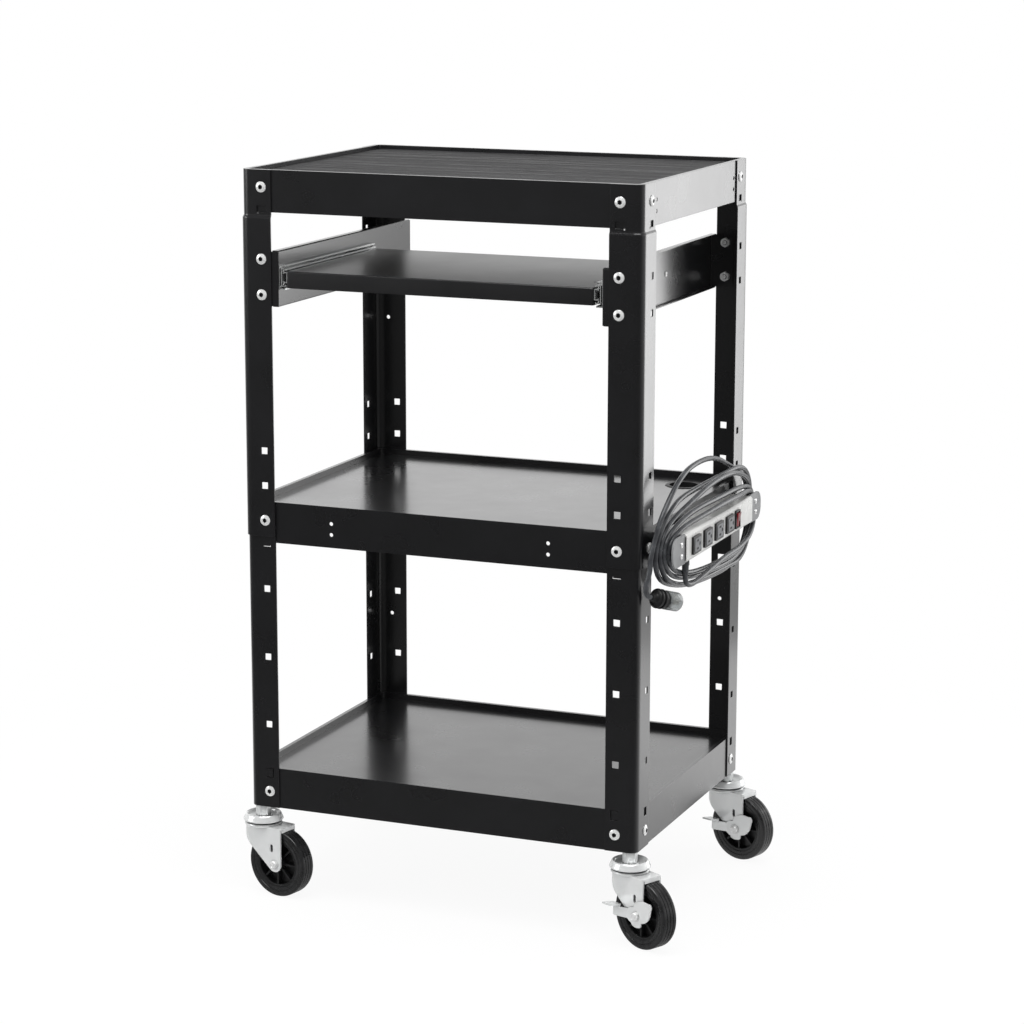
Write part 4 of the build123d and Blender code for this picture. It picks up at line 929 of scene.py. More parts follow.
@dataclass
class FoldedPost:
    """One folded sheet post, drawn at the front left corner and then taken to its own corner.

    The local x runs inwards from the cart's side and the local y inwards from its end. A zone is
    a stretch of the post whose outer faces stand at one distance from the cart's side.
    """

    corner: Corner
    upper: bool
    front_width: float = 47.0
    side_width: float = 51.0
    sheet: float = POST_SHEET
    bend: float = 12.0
    wide_bend: float = 13.4
    flat: float = 3.0
    seam: float = 0.02
    hole: float = 10.0
    pitch: float = 50.8
    head_opening: tuple[float, float] = (14.7, 11.2)
    side_opening: tuple[float, float] = (10.6, 12.4)
    opening_corner: float = 0.8
    lap: float = 541.0
    lower_end: float = 589.5
    joggle: tuple[float, float] = (999.6, 1004.6)
    flat_tab: float = 186.4
    shelf_tab: float = 1008.3
    middle_tab: float = 532.0

    def section(self, plane: float, bend: float, whole: bool) -> np.ndarray:
        """The outer line in plan, from the front flange round a quarter circle to the side one.

        Args:
            plane: how far in from the cart's side the outer faces stand.
            bend: the outer radius between the flanges.
            whole: whether the flanges are in it, or only the bend with a short flat run.

        Returns:
            The line's points.
        """
        middle = plane + bend
        angle = np.linspace(-math.pi / 2, -math.pi, 17)
        arc = middle + bend * np.stack([np.cos(angle), np.sin(angle)], -1)
        start = [(middle + self.flat, plane)]
        end = [(plane, middle + self.flat)]
        if whole:
            start.insert(0, (self.front_width, plane))
            end.append((plane, self.side_width))
        return np.vstack([start, arc, end])

    def zone(self, low: float, high: float, plane: float, bend: float) -> list[Surface]:
        """One straight stretch: the bend as a strip, and the two flanges with their holes.

        Args:
            low: the height that it starts at.
            high: the height that it ends at.
            plane: how far in from the cart's side the outer faces stand.
            bend: the outer radius between the flanges.

        Returns:
            The strip, the front flange and the side flange.
        """
        edge = plane + bend + self.flat + self.seam
        strip = plate(ribbon(self.section(plane, bend, False), self.sheet), low, high)
        found = [strip]
        for width, column, order, flange in (
            (self.front_width, FRONT_COLUMN, (0, 2, 1), Flange.FRONT),
            (self.side_width, SIDE_COLUMN, (2, 0, 1), Flange.SIDE),
        ):
            outline = np.array([(edge, low), (width, low), (width, high), (edge, high)])
            holes = self.holes(column, low, high, flange)
            flat = plate(outline, plane, plane + self.sheet, holes)
            found.append(flat.swapped(order))
        return found

    def holes(self, column: float, low: float, high: float, flange: Flange) -> list[np.ndarray]:
        """The square holes, the tab openings and the slits of a flange between two heights.

        Args:
            column: how far in the holes' middles are.
            low: the height that the flange starts at.
            high: the height that it ends at.
            flange: which of the two it is.

        Returns:
            One outline for each hole.
        """
        square = box_outline(self.hole, self.hole, self.opening_corner, 1)
        heights = [LOW_BOLT + 2 * self.pitch * i for i in range(5)]
        if self.upper:
            heights = [MIDDLE_BOLT + self.pitch * i for i in range(3)]
            heights += [*BRACKET_BOLTS, TOP_BOLT]
        found = [square + np.array((column, z)) for z in heights if low < z < high]
        if self.upper:
            opening = box_outline(*self.head_opening, self.opening_corner, 1)
            if low < self.shelf_tab < high:
                found.append(opening + np.array((column, self.shelf_tab + 3.6)))
        elif flange is Flange.FRONT:
            found.append(self.slit() + np.array((column, self.flat_tab)))
            found.append(self.shut_slit() + np.array((column, self.middle_tab - 5.8)))
        else:
            opening = box_outline(*self.side_opening, self.opening_corner, 1)
            found.append(opening + np.array((column, self.flat_tab)))
        return found + self.small_holes(low, high, flange)

    def slit(self, half: float = 5.75, length: float = 10.0, width: float = 1.6) -> np.ndarray:
        """The three-sided cut round a flat tab that hangs on at the post's bend.

        Args:
            half: half the tab's height.
            length: of the tab.
            width: of the cut.

        Returns:
            The cut's outline about the tab's middle.
        """
        tall = half + width
        left = -length / 2
        far = length / 2
        outer = [(left, -tall), (far + width, -tall), (far + width, tall), (left, tall)]
        return np.array(outer + [(left, half), (far, half), (far, -half), (left, -half)])

    def shut_slit(self) -> np.ndarray:
        """The thin cut at the foot and the inner side of the tab under the middle shelf."""
        outer = [(-5.4, -0.6), (6.8, -0.6), (6.8, 2.2), (5.7, 2.2), (5.7, 0.5), (-5.4, 0.5)]
        return np.array(outer)

    def small_holes(self, low: float, high: float, flange: Flange) -> list[np.ndarray]:
        """The round holes of the back posts.

        Args:
            low: the height that the flange starts at.
            high: the height that it ends at.
            flange: which of the two it is.

        Returns:
            The hole's outline, or nothing.
        """
        places = {
            (Corner.BACK_RIGHT, False): (33.0, 399.0), (Corner.BACK_LEFT, False): (22.0, 325.0),
            (Corner.BACK_LEFT, True): (18.0, 800.0),
        }
        at = places.get((self.corner, self.upper))
        if at is None or flange is Flange.SIDE or not low < at[1] < high:
            return []
        return [circle(at[0], at[1], 3.0, 20)]

    def step(self) -> Surface:
        """The joggle: whole sections whose outer plane moves as a smooth step of the height.

        Returns:
            The closed stretch between the lower and the upper zone.
        """
        share = np.linspace(0, 1, 7)
        smooth = share**2 * (3 - 2 * share)
        low, high = self.joggle
        rows = []
        for part, rise in zip(smooth, share):
            plane = -self.sheet * (1 - part)
            bend = self.wide_bend + (self.bend - self.wide_bend) * part
            loop = ribbon(self.section(plane, bend, True), self.sheet)
            lap = self.seam * (2 * rise - 1)
            height = np.full(len(loop), low + (high - low) * rise + lap)
            rows.append(np.column_stack([loop, height]))
        body = sheet(np.stack(rows), wrap_v=True)
        count = len(rows[0])
        last = count * (len(rows) - 1)
        body.faces += [list(range(count)), list(range(last, last + count))]
        return body

    def tabs(self) -> list[Surface]:
        """The bent tabs that carry the top shelf, in the openings of the head.

        Returns:
            The front tab and the side tab.
        """
        low = self.shelf_tab - 1.9
        front = block((26.9, 0.0, low), (39.2, 10.0, self.shelf_tab - 0.1))
        side = block((0.0, 30.9, low), (10.0, 43.2, self.shelf_tab - 0.1))
        return [front, side]

    def build(self) -> None:
        """Make the post."""
        if self.upper:
            low, high = self.joggle
            parts = self.zone(self.lap, low, -self.sheet, self.wide_bend)
            parts += [self.step()]
            parts += self.zone(high, POST_TOP, 0.0, self.bend)
            parts += self.tabs()
        else:
            parts = self.zone(POST_FOOT, self.lower_end, 0.0, self.bend)
        row = "upper" if self.upper else "lower"
        label = self.corner.label
        placed = [at_corner(part, self.corner) for part in parts]
        node = f"{row}_post_{label}"
        piece(f"folded_{row}_post_{label}", placed, POWDER_COAT, "frame", [node], sharp=30)


@dataclass
class DeckFittings:
    """The ribbed mat on the top deck and the lined cable hole in the middle one."""

    deck: float = POST_TOP - 9.0
    inset: float = 8.9
    corner: float = 4.6
    base: float = 1.6
    rib: float = 1.4
    pitch: float = 13.0
    wave_gain: float = 1.7
    wave_lift: float = 0.75
    flank_power: float = 0.8
    hole_middle: tuple[float, float, float] = (230.5, 162.5, 583.0)

    def mat(self) -> Surface:
        """The mat: rows from front to back, each as wide as the rounded corners let it be.

        A rib's height is a flat-topped wave: the cosine along the mat, made steeper, lifted and
        cut off at nought and one, to a power a little under one, times the rib height.

        Returns:
            The closed mat.
        """
        half_x = HALF_WIDTH - self.inset
        half_y = HALF_DEPTH - self.inset
        y = np.linspace(-half_y, half_y, 421)
        wave = np.cos(TAU * y / self.pitch) * self.wave_gain + self.wave_lift
        rise = self.rib * np.clip(wave, 0, 1) ** self.flank_power
        over = np.clip(np.abs(y) - (half_y - self.corner), 0, self.corner)
        half = half_x - self.corner + np.sqrt(np.maximum(self.corner**2 - over**2, 0))
        top = self.deck + self.base + rise
        left = np.stack([-half, y, top], -1)
        right = np.stack([half, y, top], -1)
        low_left = np.stack([-half, y, np.full_like(y, self.deck)], -1)
        low_right = np.stack([half, y, np.full_like(y, self.deck)], -1)
        loop = np.stack([left, right, low_right, low_left], 1)
        body = sheet(loop, wrap_v=True)
        last = 4 * (len(y) - 1)
        body.faces += [[3, 2, 1, 0], [last, last + 1, last + 2, last + 3]]
        return body

    def grommet(self) -> Surface:
        """The ring in the cable hole: a rolled lip over the deck and a skirt below it."""
        # The skirt is partly real and partly painted shade: it runs deeper than the CAD grommet's,
        # a dark sheet closing the hole to view where there is only shade
        profile = [
            (21.4, 0.9), (22.2, 1.1), (25.0, 1.1), (26.4, 0.8), (27.3, 0.2), (27.5, -0.5),
            (23.9, -0.5), (23.9, -10.6), (23.6, -11.0), (21.8, -11.0), (21.4, -10.7),
        ]
        return turned(profile, 64).moved(*self.hole_middle)

    def build(self) -> None:
        """Make the mat and the grommet."""
        piece("ribbed_mat", [self.mat()], MAT_RUBBER, "frame", ["top_mat"], sharp=60)
        piece("hole_grommet", [self.grommet()], NYLON, "frame", ["cable_grommet"])


@dataclass
class KeyboardDrawer:
    """The keyboard tray on its two ball slides and brackets."""

    face: float = 57.0 - HALF_WIDTH
    slide_middle: float = 874.4 + 25.0 + 17.5
    slide_width: float = 12.7
    ball_radius: float = 1.55
    outer_row: float = 14.45
    inner_row: float = 9.55
    cage_length: float = 70.0
    cage_pitch: float = 7.0
    outer_cage: float = 233.0
    inner_cage: float = 3.0
    screw_places: tuple[float, float] = (25.0, 253.0)
    bracket_low: float = 874.4
    bracket_high: float = 954.4
    bracket_sheet: float = 1.5
    bracket_lip: float = 10.0
    bracket_end: float = 37.0
    bracket_bend: float = 2.2
    tray_half: float = 231.8
    tray_back: float = 75.5
    tray_low: float = 902.4
    tray_high: float = 926.4
    tray_sheet: float = 1.2
    tray_corner: float = 3.4
    tray_bend: float = 2.2

    def bracket(self, side: int) -> list[Surface]:
        """One bracket: a channel along the cart, and an upright angle at each of its ends.

        Args:
            side: -1 for the left one and 1 for the right one.

        Returns:
            The channel and its two angles.
        """
        web = -self.face
        lip = web + self.bracket_lip
        corners = [
            (lip, self.bracket_low), (web, self.bracket_low), (web, self.bracket_high),
            (lip, self.bracket_high),
        ]
        line = bent_line(corners, self.bracket_bend)
        length = HALF_DEPTH - self.bracket_bend - 1.0
        channel = plate(ribbon(line, self.bracket_sheet), -length, length).swapped((0, 2, 1))
        angle = [(web, -length - 0.05), (web, -HALF_DEPTH), (web + self.bracket_end, -HALF_DEPTH)]
        outline = ribbon(bent_line(angle, self.bracket_bend)[::-1], self.bracket_sheet)
        low = self.bracket_low + 1.2
        front = plate(outline, low, self.bracket_high - 1.2)
        parts = [channel, front, front.scaled(y=-1)]
        return [part.scaled(x=side) for part in parts]

    def tray(self) -> list[Surface]:
        """The tray: rounded rectangles set in and raised round the top bend, and a flat top.

        Along the bend the set-in is the bend radius times one less the cosine, and the rise its
        sine, outside with the full radius and inside with the radius less the sheet.

        Returns:
            The rim with its bend, and the flat top.
        """
        bend = self.tray_bend
        thin = bend - self.tray_sheet
        turn = np.linspace(0, math.pi / 2, 7)
        set_in = [0.0, *(bend * (1 - np.cos(turn)))]
        height = [self.tray_low, *(self.tray_high - bend + bend * np.sin(turn))]
        set_in += list((self.tray_sheet + thin * (1 - np.cos(turn)))[::-1])
        height += list((self.tray_high - bend + thin * np.sin(turn))[::-1])
        set_in += [self.tray_sheet, 6.0, 6.0]
        height += [self.tray_low + self.tray_sheet, self.tray_low + self.tray_sheet, self.tray_low]
        rows = [
            np.column_stack([self.tray_loop(inset), np.full(40, z)])
            for inset, z in zip(set_in, height)
        ]
        rim = sheet(np.stack(rows), wrap_u=True, wrap_v=True)
        hole = circle(211.8, -167.5, 2.2, 16)
        low = self.tray_high - self.tray_sheet
        top = plate(self.tray_loop(bend + 0.01), low, self.tray_high, [hole])
        return [rim, top]

    def tray_loop(self, inset: float) -> np.ndarray:
        """A rounded rectangle, set in from the tray's outline: four arcs of ten points.

        Args:
            inset: how far in it lies.

        Returns:
            The loop's 40 points.
        """
        radius = max(self.tray_corner - inset, 0.4)
        start = np.repeat(np.arange(4) * math.pi / 2, 10)
        angle = start + np.tile(np.linspace(0, math.pi / 2, 10), 4)
        half_x = self.tray_half - inset - radius
        middle = (self.tray_back - HALF_DEPTH) / 2
        half_y = (self.tray_back + HALF_DEPTH) / 2 - inset - radius
        across = np.repeat((1, -1, -1, 1), 10) * half_x
        along = np.repeat((1, 1, -1, -1), 10) * half_y
        x = across + radius * np.cos(angle)
        y = middle + along + radius * np.sin(angle)
        return np.stack([x, y], -1)

    def cage(self, row: float, start: float) -> list[Surface]:
        """A row of balls with the thin strip that spaces them, along the slide.

        Args:
            row: the row's height from the slide's middle.
            start: its distance from the cart's front.

        Returns:
            The balls and the strip.
        """
        x = self.face + self.slide_width / 2 + 0.3
        z = self.slide_middle + row
        count = int(self.cage_length / self.cage_pitch)
        first = start - HALF_DEPTH + self.cage_pitch / 2
        found = [
            ball(self.ball_radius).moved(x, first + self.cage_pitch * i, z) for i in range(count)
        ]
        low = (x - 0.35, start - HALF_DEPTH, z - 1.0)
        high = (x + 0.35, start - HALF_DEPTH + self.cage_length, z + 1.0)
        return found + [block(low, high)]

    def build(self) -> None:
        """Make the tray and brackets, dress the rails, make their balls and screws."""
        owner = {node: body for body, nodes in bodies().items() for node in nodes}
        for side, name in ((-1, "left"), (1, "right")):
            node = "tray_bracket_" + name
            parts = self.bracket(side)
            piece("folded_bracket_" + name, parts, POWDER_COAT, owner[node], [node])
        body = owner["keyboard_tray"]
        piece("folded_tray", self.tray(), DULL_COAT, body, ["keyboard_tray"], sharp=30)
        for row in ("outer", "middle", "inner"):
            dress([f"{row}_rail_left", f"{row}_rail_right"], RAIL_STEEL)
        rows: list[Surface] = []
        for up in (-1, 1):
            rows += self.cage(up * self.outer_row, self.outer_cage)
            rows += self.cage(up * self.inner_row, self.inner_cage)
        both = rows + [row.scaled(x=-1) for row in rows]
        body = next(b for b, nodes in bodies().items() if "ball_retainers" in nodes)
        piece("slide_balls", both, BRIGHT_HEAD, body, ["ball_retainers"])
        heads = []
        for place in self.screw_places:
            at = (self.face - 1.5, place - HALF_DEPTH, self.slide_middle)
            screw = pan_head(4.0, 2.0, 2.7).turned(-90, "Y").moved(*at)
            heads += [screw, screw.scaled(x=-1)]
        piece("slide_screw_heads", heads, BRIGHT_HEAD, "frame", ["slide_screws"])


def bodies() -> dict[str, list[str]]:
    """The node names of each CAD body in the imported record."""
    return frame["record"]["behaviour"]["bodies"]


def pan_head(radius: float, height: float, grip: float) -> Surface:
    """A small pan head with a crossed recess, and its shank below.

    The recess reaches out as the fourth power of the cosine of twice the angle, which gives four
    arms.

    Args:
        radius: of the head.
        height: of the head.
        grip: how far the shank goes in.

    Returns:
        The screw, with its head up Z.
    """
    sides = 40
    angle = np.arange(sides) * TAU / sides
    cross = 0.5 + 1.6 * np.abs(np.cos(2 * angle)) ** 4
    full = np.ones(sides)
    none = np.zeros(sides)
    head = [radius * full, radius * 0.97 * full, radius * 0.84 * full, radius * 0.62 * full]
    rows = [none, 2.3 * full, 2.3 * full, *head, cross, cross * 0.7, none]
    rises = [0.0, height * 0.45, height * 0.82, height, height, height * 0.4, height * 0.3]
    heights = [-grip, -grip, 0.0, *rises]
    return shaped(np.stack(rows), heights)


@dataclass
class Caster:
    """One swivel caster, drawn with its swivel axis on Z and its wheel behind it along +X."""

    corner: Corner
    braked: bool
    trail: float = 33.0
    wheel: float = 50.0
    tread: float = 25.0
    fork_gap: float = 2.5
    sheet: float = 2.5
    crown: float = 103.0
    stem_inset: float = 13.5
    shoulder_across: float = 19.0
    nut_across: float = 15.9
    wrap_start: float = -12.5
    wrap_radius: float = 14.0

    def placed(self, surface: Surface, swings: bool = True) -> Surface:
        """Take a surface from the caster's own frame to its corner of the cart.

        Args:
            surface: a surface in the caster's own frame.
            swings: whether it turns with the fork.

        Returns:
            The surface in its place.
        """
        turn = self.corner.heading if swings else 0.0
        x = self.corner.side * (HALF_WIDTH - self.stem_inset)
        y = self.corner.end * (HALF_DEPTH - self.stem_inset)
        return surface.turned(turn).moved(x, y)

    def on_axle(self, surface: Surface) -> Surface:
        """Turn a surface whose axle is Z on to the wheel's axle."""
        return surface.turned(90, "X").moved(self.trail, 0, self.wheel)

    def tyre(self) -> Surface:
        """The tyre's section: a bead, a dished wall, a rounded shoulder, a grooved tread.

        Returns:
            The tyre about its own axle.
        """
        half = [
            (36.0, 11.0), (37.6, 11.5), (40.6, 11.7), (41.2, 11.2), (42.0, 11.2), (42.6, 12.2),
            (44.5, 12.5), (47.2, 12.5), (48.6, 12.2), (49.5, 11.4), (49.9, 10.3), (50.0, 9.2),
            (50.0, 6.3), (49.2, 6.0), (49.2, 5.2), (50.0, 4.9), (50.0, 0.7), (49.2, 0.4),
        ]
        other = [(r, -z) for r, z in reversed(half)]
        return turned(half + other, 96)

    def core(self) -> list[Surface]:
        """The moulded core: a stepped rim, a web, a hub with a collar, and eight spokes.

        Returns:
            The rim, the hub, the web and the spokes.
        """
        rim = [
            (35.9, 11.0), (35.9, -11.0), (33.0, -11.0), (32.2, -10.2), (31.9, -3.0), (31.9, 3.0),
            (32.2, 10.2), (33.0, 11.0),
        ]
        hub = [
            (4.1, 14.5), (8.6, 14.5), (9.4, 13.8), (10.6, 11.0), (11.0, 3.0), (11.0, -3.0),
            (10.6, -11.0), (9.4, -13.8), (8.6, -14.5), (4.1, -14.5),
        ]
        web = [(10.5, 1.2), (32.3, 1.2), (32.3, -1.2), (10.5, -1.2)]
        parts = [turned(rim, 72), turned(hub, 48), turned(web, 48)]
        spoke = block((9.0, -1.3, -9.4), (33.0, 1.3, 9.4))
        parts += [spoke.turned(45 * i) for i in range(8)]
        return parts

    def leg_outline(self) -> np.ndarray:
        """A leg laid flat: wide at the crown, bulging forward, and round about the axle.

        Returns:
            The outline, X along the leg and Y up.
        """
        top = self.crown + 0.6
        circles = [
            (self.trail, self.wheel, 11.5), (-8.5, 75.0, 3.0), (-18.5, 87.0, 3.0),
            (-30.0, 95.5, 1.0), (-34.5, top - 1.0, 1.0), (43.0, top - 1.5, 1.5),
        ]
        return hull(circles, 240)

    def fork(self) -> list[Surface]:
        """The pressed fork: flat legs, their front wrapped round the crown, and the ledge.

        Returns:
            The legs, the wrapped front, the raceway, the ledge and its lip.
        """
        leg_in = self.tread / 2 + self.fork_gap
        leg_out = leg_in + self.sheet
        flat = self.leg_outline()
        flat = flat[flat[:, 0] >= self.wrap_start]
        order = np.argsort(np.arctan2(flat[:, 1] - 75.0, flat[:, 0] - 20.0))
        flat = flat[order]
        slot = hull([(28.0, 70.5, 2.5), (28.0, 77.5, 2.5)], 24)
        hole = circle(self.trail, self.wheel, 4.0)
        low = self.leg_low(np.array([self.wrap_start]))[0]
        top = self.crown + 0.6
        corners = np.array([(self.wrap_start, top), (self.wrap_start, low)])
        cut = int(np.argmax(np.linalg.norm(flat - np.roll(flat, 1, axis=0), axis=1)))
        outline = np.vstack([flat[:cut], corners, flat[cut:]])
        leg = plate(outline, -leg_out, -leg_in, [slot, hole]).turned(90, "X")
        top_plate = box_outline(46.0 + 12.0, 2 * leg_out, 3.0) + np.array((17.0, 0.0))
        ledge = plate(top_plate, self.crown, self.crown + self.sheet)
        lip = block((43.6, -leg_in, 99.0), (46.0, leg_in, self.crown + 1.0))
        return [leg, leg.scaled(y=-1), self.wrap(leg_out), turned(self.dome(), 64), ledge, lip]

    def leg_low(self, along: np.ndarray) -> np.ndarray:
        """The height of the flat leg's front edge at each place along it.

        Args:
            along: places along the flat leg.

        Returns:
            The edge's height at each place.
        """
        outline = self.leg_outline()
        front = outline[(outline[:, 1] < self.crown - 1) & (outline[:, 0] < 22.0)]
        order = np.argsort(front[:, 0])
        return np.interp(along, front[order, 0], front[order, 1])

    def wrap(self, leg_out: float) -> Surface:
        """The front of the fork: its upper edge level, its lower edge the leg's front edge.

        In plan it is a quarter circle from each leg to the front, with a short straight run
        between them. A length along it is taken from the flat leg, so the edge runs on.

        Args:
            leg_out: the legs' outer faces, from the middle.

        Returns:
            The closed wrap.
        """
        radius = self.wrap_radius
        angle = np.linspace(0, math.pi / 2, 13)
        x = self.wrap_start - radius * np.sin(angle)
        y = leg_out - radius * (1 - np.cos(angle))
        along = self.wrap_start - radius * angle
        plan = np.stack([np.r_[x, x[::-1]], np.r_[y, -y[::-1]]], -1)
        low = self.leg_low(np.r_[along, along[::-1]])
        outline = ribbon(plan[::-1], self.sheet)
        count = len(plan)
        outer = outline[:count][::-1]
        inner = outline[count:]
        share = np.linspace(0, 1, 6)[None, :]
        height = low[:, None] + (self.crown + 0.6 - low[:, None]) * share
        near = np.repeat(outer[:, None], 6, axis=1)
        far = np.repeat(inner[:, None], 6, axis=1)
        near = np.concatenate([near, height[..., None]], -1)
        far = np.concatenate([far, height[..., None]], -1)[:, ::-1]
        body = sheet(np.concatenate([near, far], axis=1), wrap_v=True)
        last = 12 * (count - 1)
        body.faces += [list(range(12)), list(range(last, last + 12))]
        return body

    def dome(self) -> list[tuple[float, float]]:
        """The lower raceway's section: a rim over the crown, then a low dome."""
        z = self.crown
        return [
            (5.6, z + 0.5), (24.0, z + 0.5), (26.6, z + 1.0), (27.4, z + 1.8), (27.5, z + 3.0),
            (27.0, z + 4.2), (25.6, z + 5.4), (23.0, z + 6.4), (19.0, z + 7.0), (8.0, z + 7.1),
            (5.6, z + 7.1),
        ]

    def stem(self) -> list[Surface]:
        """The stem: rivet, shaft, coned raceway with its rolled rim, and hexagon shoulder.

        Returns:
            The four turned parts and the shoulder.
        """
        race = [
            (0.0, 110.6), (28.0, 110.6), (29.2, 111.1), (29.5, 112.0), (29.3, 113.0), (28.6, 114.2),
            (27.9, 116.0), (27.0, 118.4), (25.9, 120.2), (24.6, 120.9), (23.4, 120.3),
            (22.4, 118.2), (20.8, 116.2), (18.4, 115.2), (13.0, 115.0), (0.0, 115.0),
        ]
        rivet = [
            (0.0, 98.95), (6.2, 98.95), (7.4, 99.6), (8.0, 101.0), (8.0, 102.95), (0.0, 102.95),
        ]
        washer = [(0.0, 115.0), (12.6, 115.0), (13.2, 115.6), (12.6, 116.6), (0.0, 116.6)]
        shaft = [(0.0, 102.9), (5.5, 102.9), (5.5, 148.2), (4.7, 149.0), (0.0, 149.0)]
        shoulder = hex_bar(self.shoulder_across, 116.6, POST_FOOT, 0.8)
        rings = [turned(race, 72), turned(rivet, 40), turned(washer, 48), turned(shaft, 32)]
        return [*rings, shoulder]

    def stem_nut(self) -> Surface:
        """The nut that holds the stem on its gusset plate."""
        return hex_bar(self.nut_across, 137.0, 145.9, 0.8)

    def axle(self) -> list[Surface]:
        """The axle bolt with a washer and a low domed nut at each end.

        Returns:
            The bar, the washers and the nuts, about the wheel's own axle.
        """
        leg_out = self.tread / 2 + self.fork_gap + self.sheet
        seat = leg_out + (2.6 if self.braked else 0.0)
        bar = [(0.0, -leg_out), (4.0, -leg_out), (4.0, seat), (0.0, seat)]
        parts = [turned(bar, 32)]
        for way, start in ((1, seat), (-1, leg_out)):
            washer = [(0.0, 0.0), (6.9, 0.0), (7.1, 0.4), (6.9, 0.9), (0.0, 0.9)]
            cap = [
                (0.0, 0.9), (5.6, 0.9), (5.6, 3.8), (5.0, 4.8), (3.6, 5.2), (3.3, 4.7), (0.0, 4.7),
            ]
            for profile in (washer, cap):
                part = turned(profile, 40).moved(z=start)
                parts.append(part if way > 0 else part.scaled(z=-1))
        return parts

    def brake(self) -> list[Surface]:
        """The brake lever: a lobed plate round the axle, its bent arm, and the foot pedal.

        Returns:
            The plate, the arm, the pedal and the bend between them.
        """
        near = -(self.tread / 2 + self.fork_gap + self.sheet + 0.3)
        outline = joined_outline(
            [
                hull([(0, 0, 10.4), (25.5, 18.5, 5.4)], 96),
                hull([(6.0, -11.5, 4.2), (-5.0, -12.0, 3.4), (0.0, 0.0, 6.2)], 72),
                box_outline(22.0, 14.0, 1.5) + np.array((-7.0, 0.0)),
            ]
        )
        lobed = plate(outline, 0.0, 2.0, [circle(0, 0, 4.05, 24)])
        arm = plate(box_outline(25.0, 14.0, 2.0) + np.array((-12.0, 0.0)), 0.0, 2.0)
        arm = arm.turned(12, "Y").moved(-17.0, 0, 0)
        flat = [part.turned(90, "X").moved(0, near, 0) for part in (lobed, arm)]
        tread = plate(box_outline(18.0, 24.0, 3.0) + np.array((-38.0, -10.0)), -1.0, 1.0)
        pedal = tread.turned(-11, "X").moved(0, near - 3.0, 9.6)
        bend = block((-40.0, near - 6.6, 5.6), (-29.0, near - 4.0, 10.2))
        return [part.moved(self.trail, 0, self.wheel) for part in [*flat, pedal, bend]]

    def build(self) -> None:
        """Make this caster's moving pieces."""
        label = self.corner.label
        swivel = "caster_" + label
        wheel = "wheel_" + label
        tyre = self.placed(self.on_axle(self.tyre()))
        piece("tyre_skin_" + label, [tyre], TYRE_RUBBER, wheel, ["tyre_" + label])
        core = [self.placed(self.on_axle(part)) for part in self.core()]
        piece("spoked_core_" + label, core, NYLON, wheel, ["wheel_core_" + label], bevel=0.35)
        fork = [self.placed(part) for part in self.fork()]
        piece("pressed_fork_" + label, fork, ZINC, swivel, ["fork_" + label], bevel=0.4)
        axle = [self.placed(self.on_axle(part)) for part in self.axle()]
        piece("axle_bolt_" + label, axle, BRIGHT_HEAD, swivel, ["axle_" + label])
        if self.braked:
            lever = [self.placed(part) for part in self.brake()]
            body = "brake_" + label
            piece("brake_lever_" + label, lever, ZINC, body, [body], bevel=0.4)


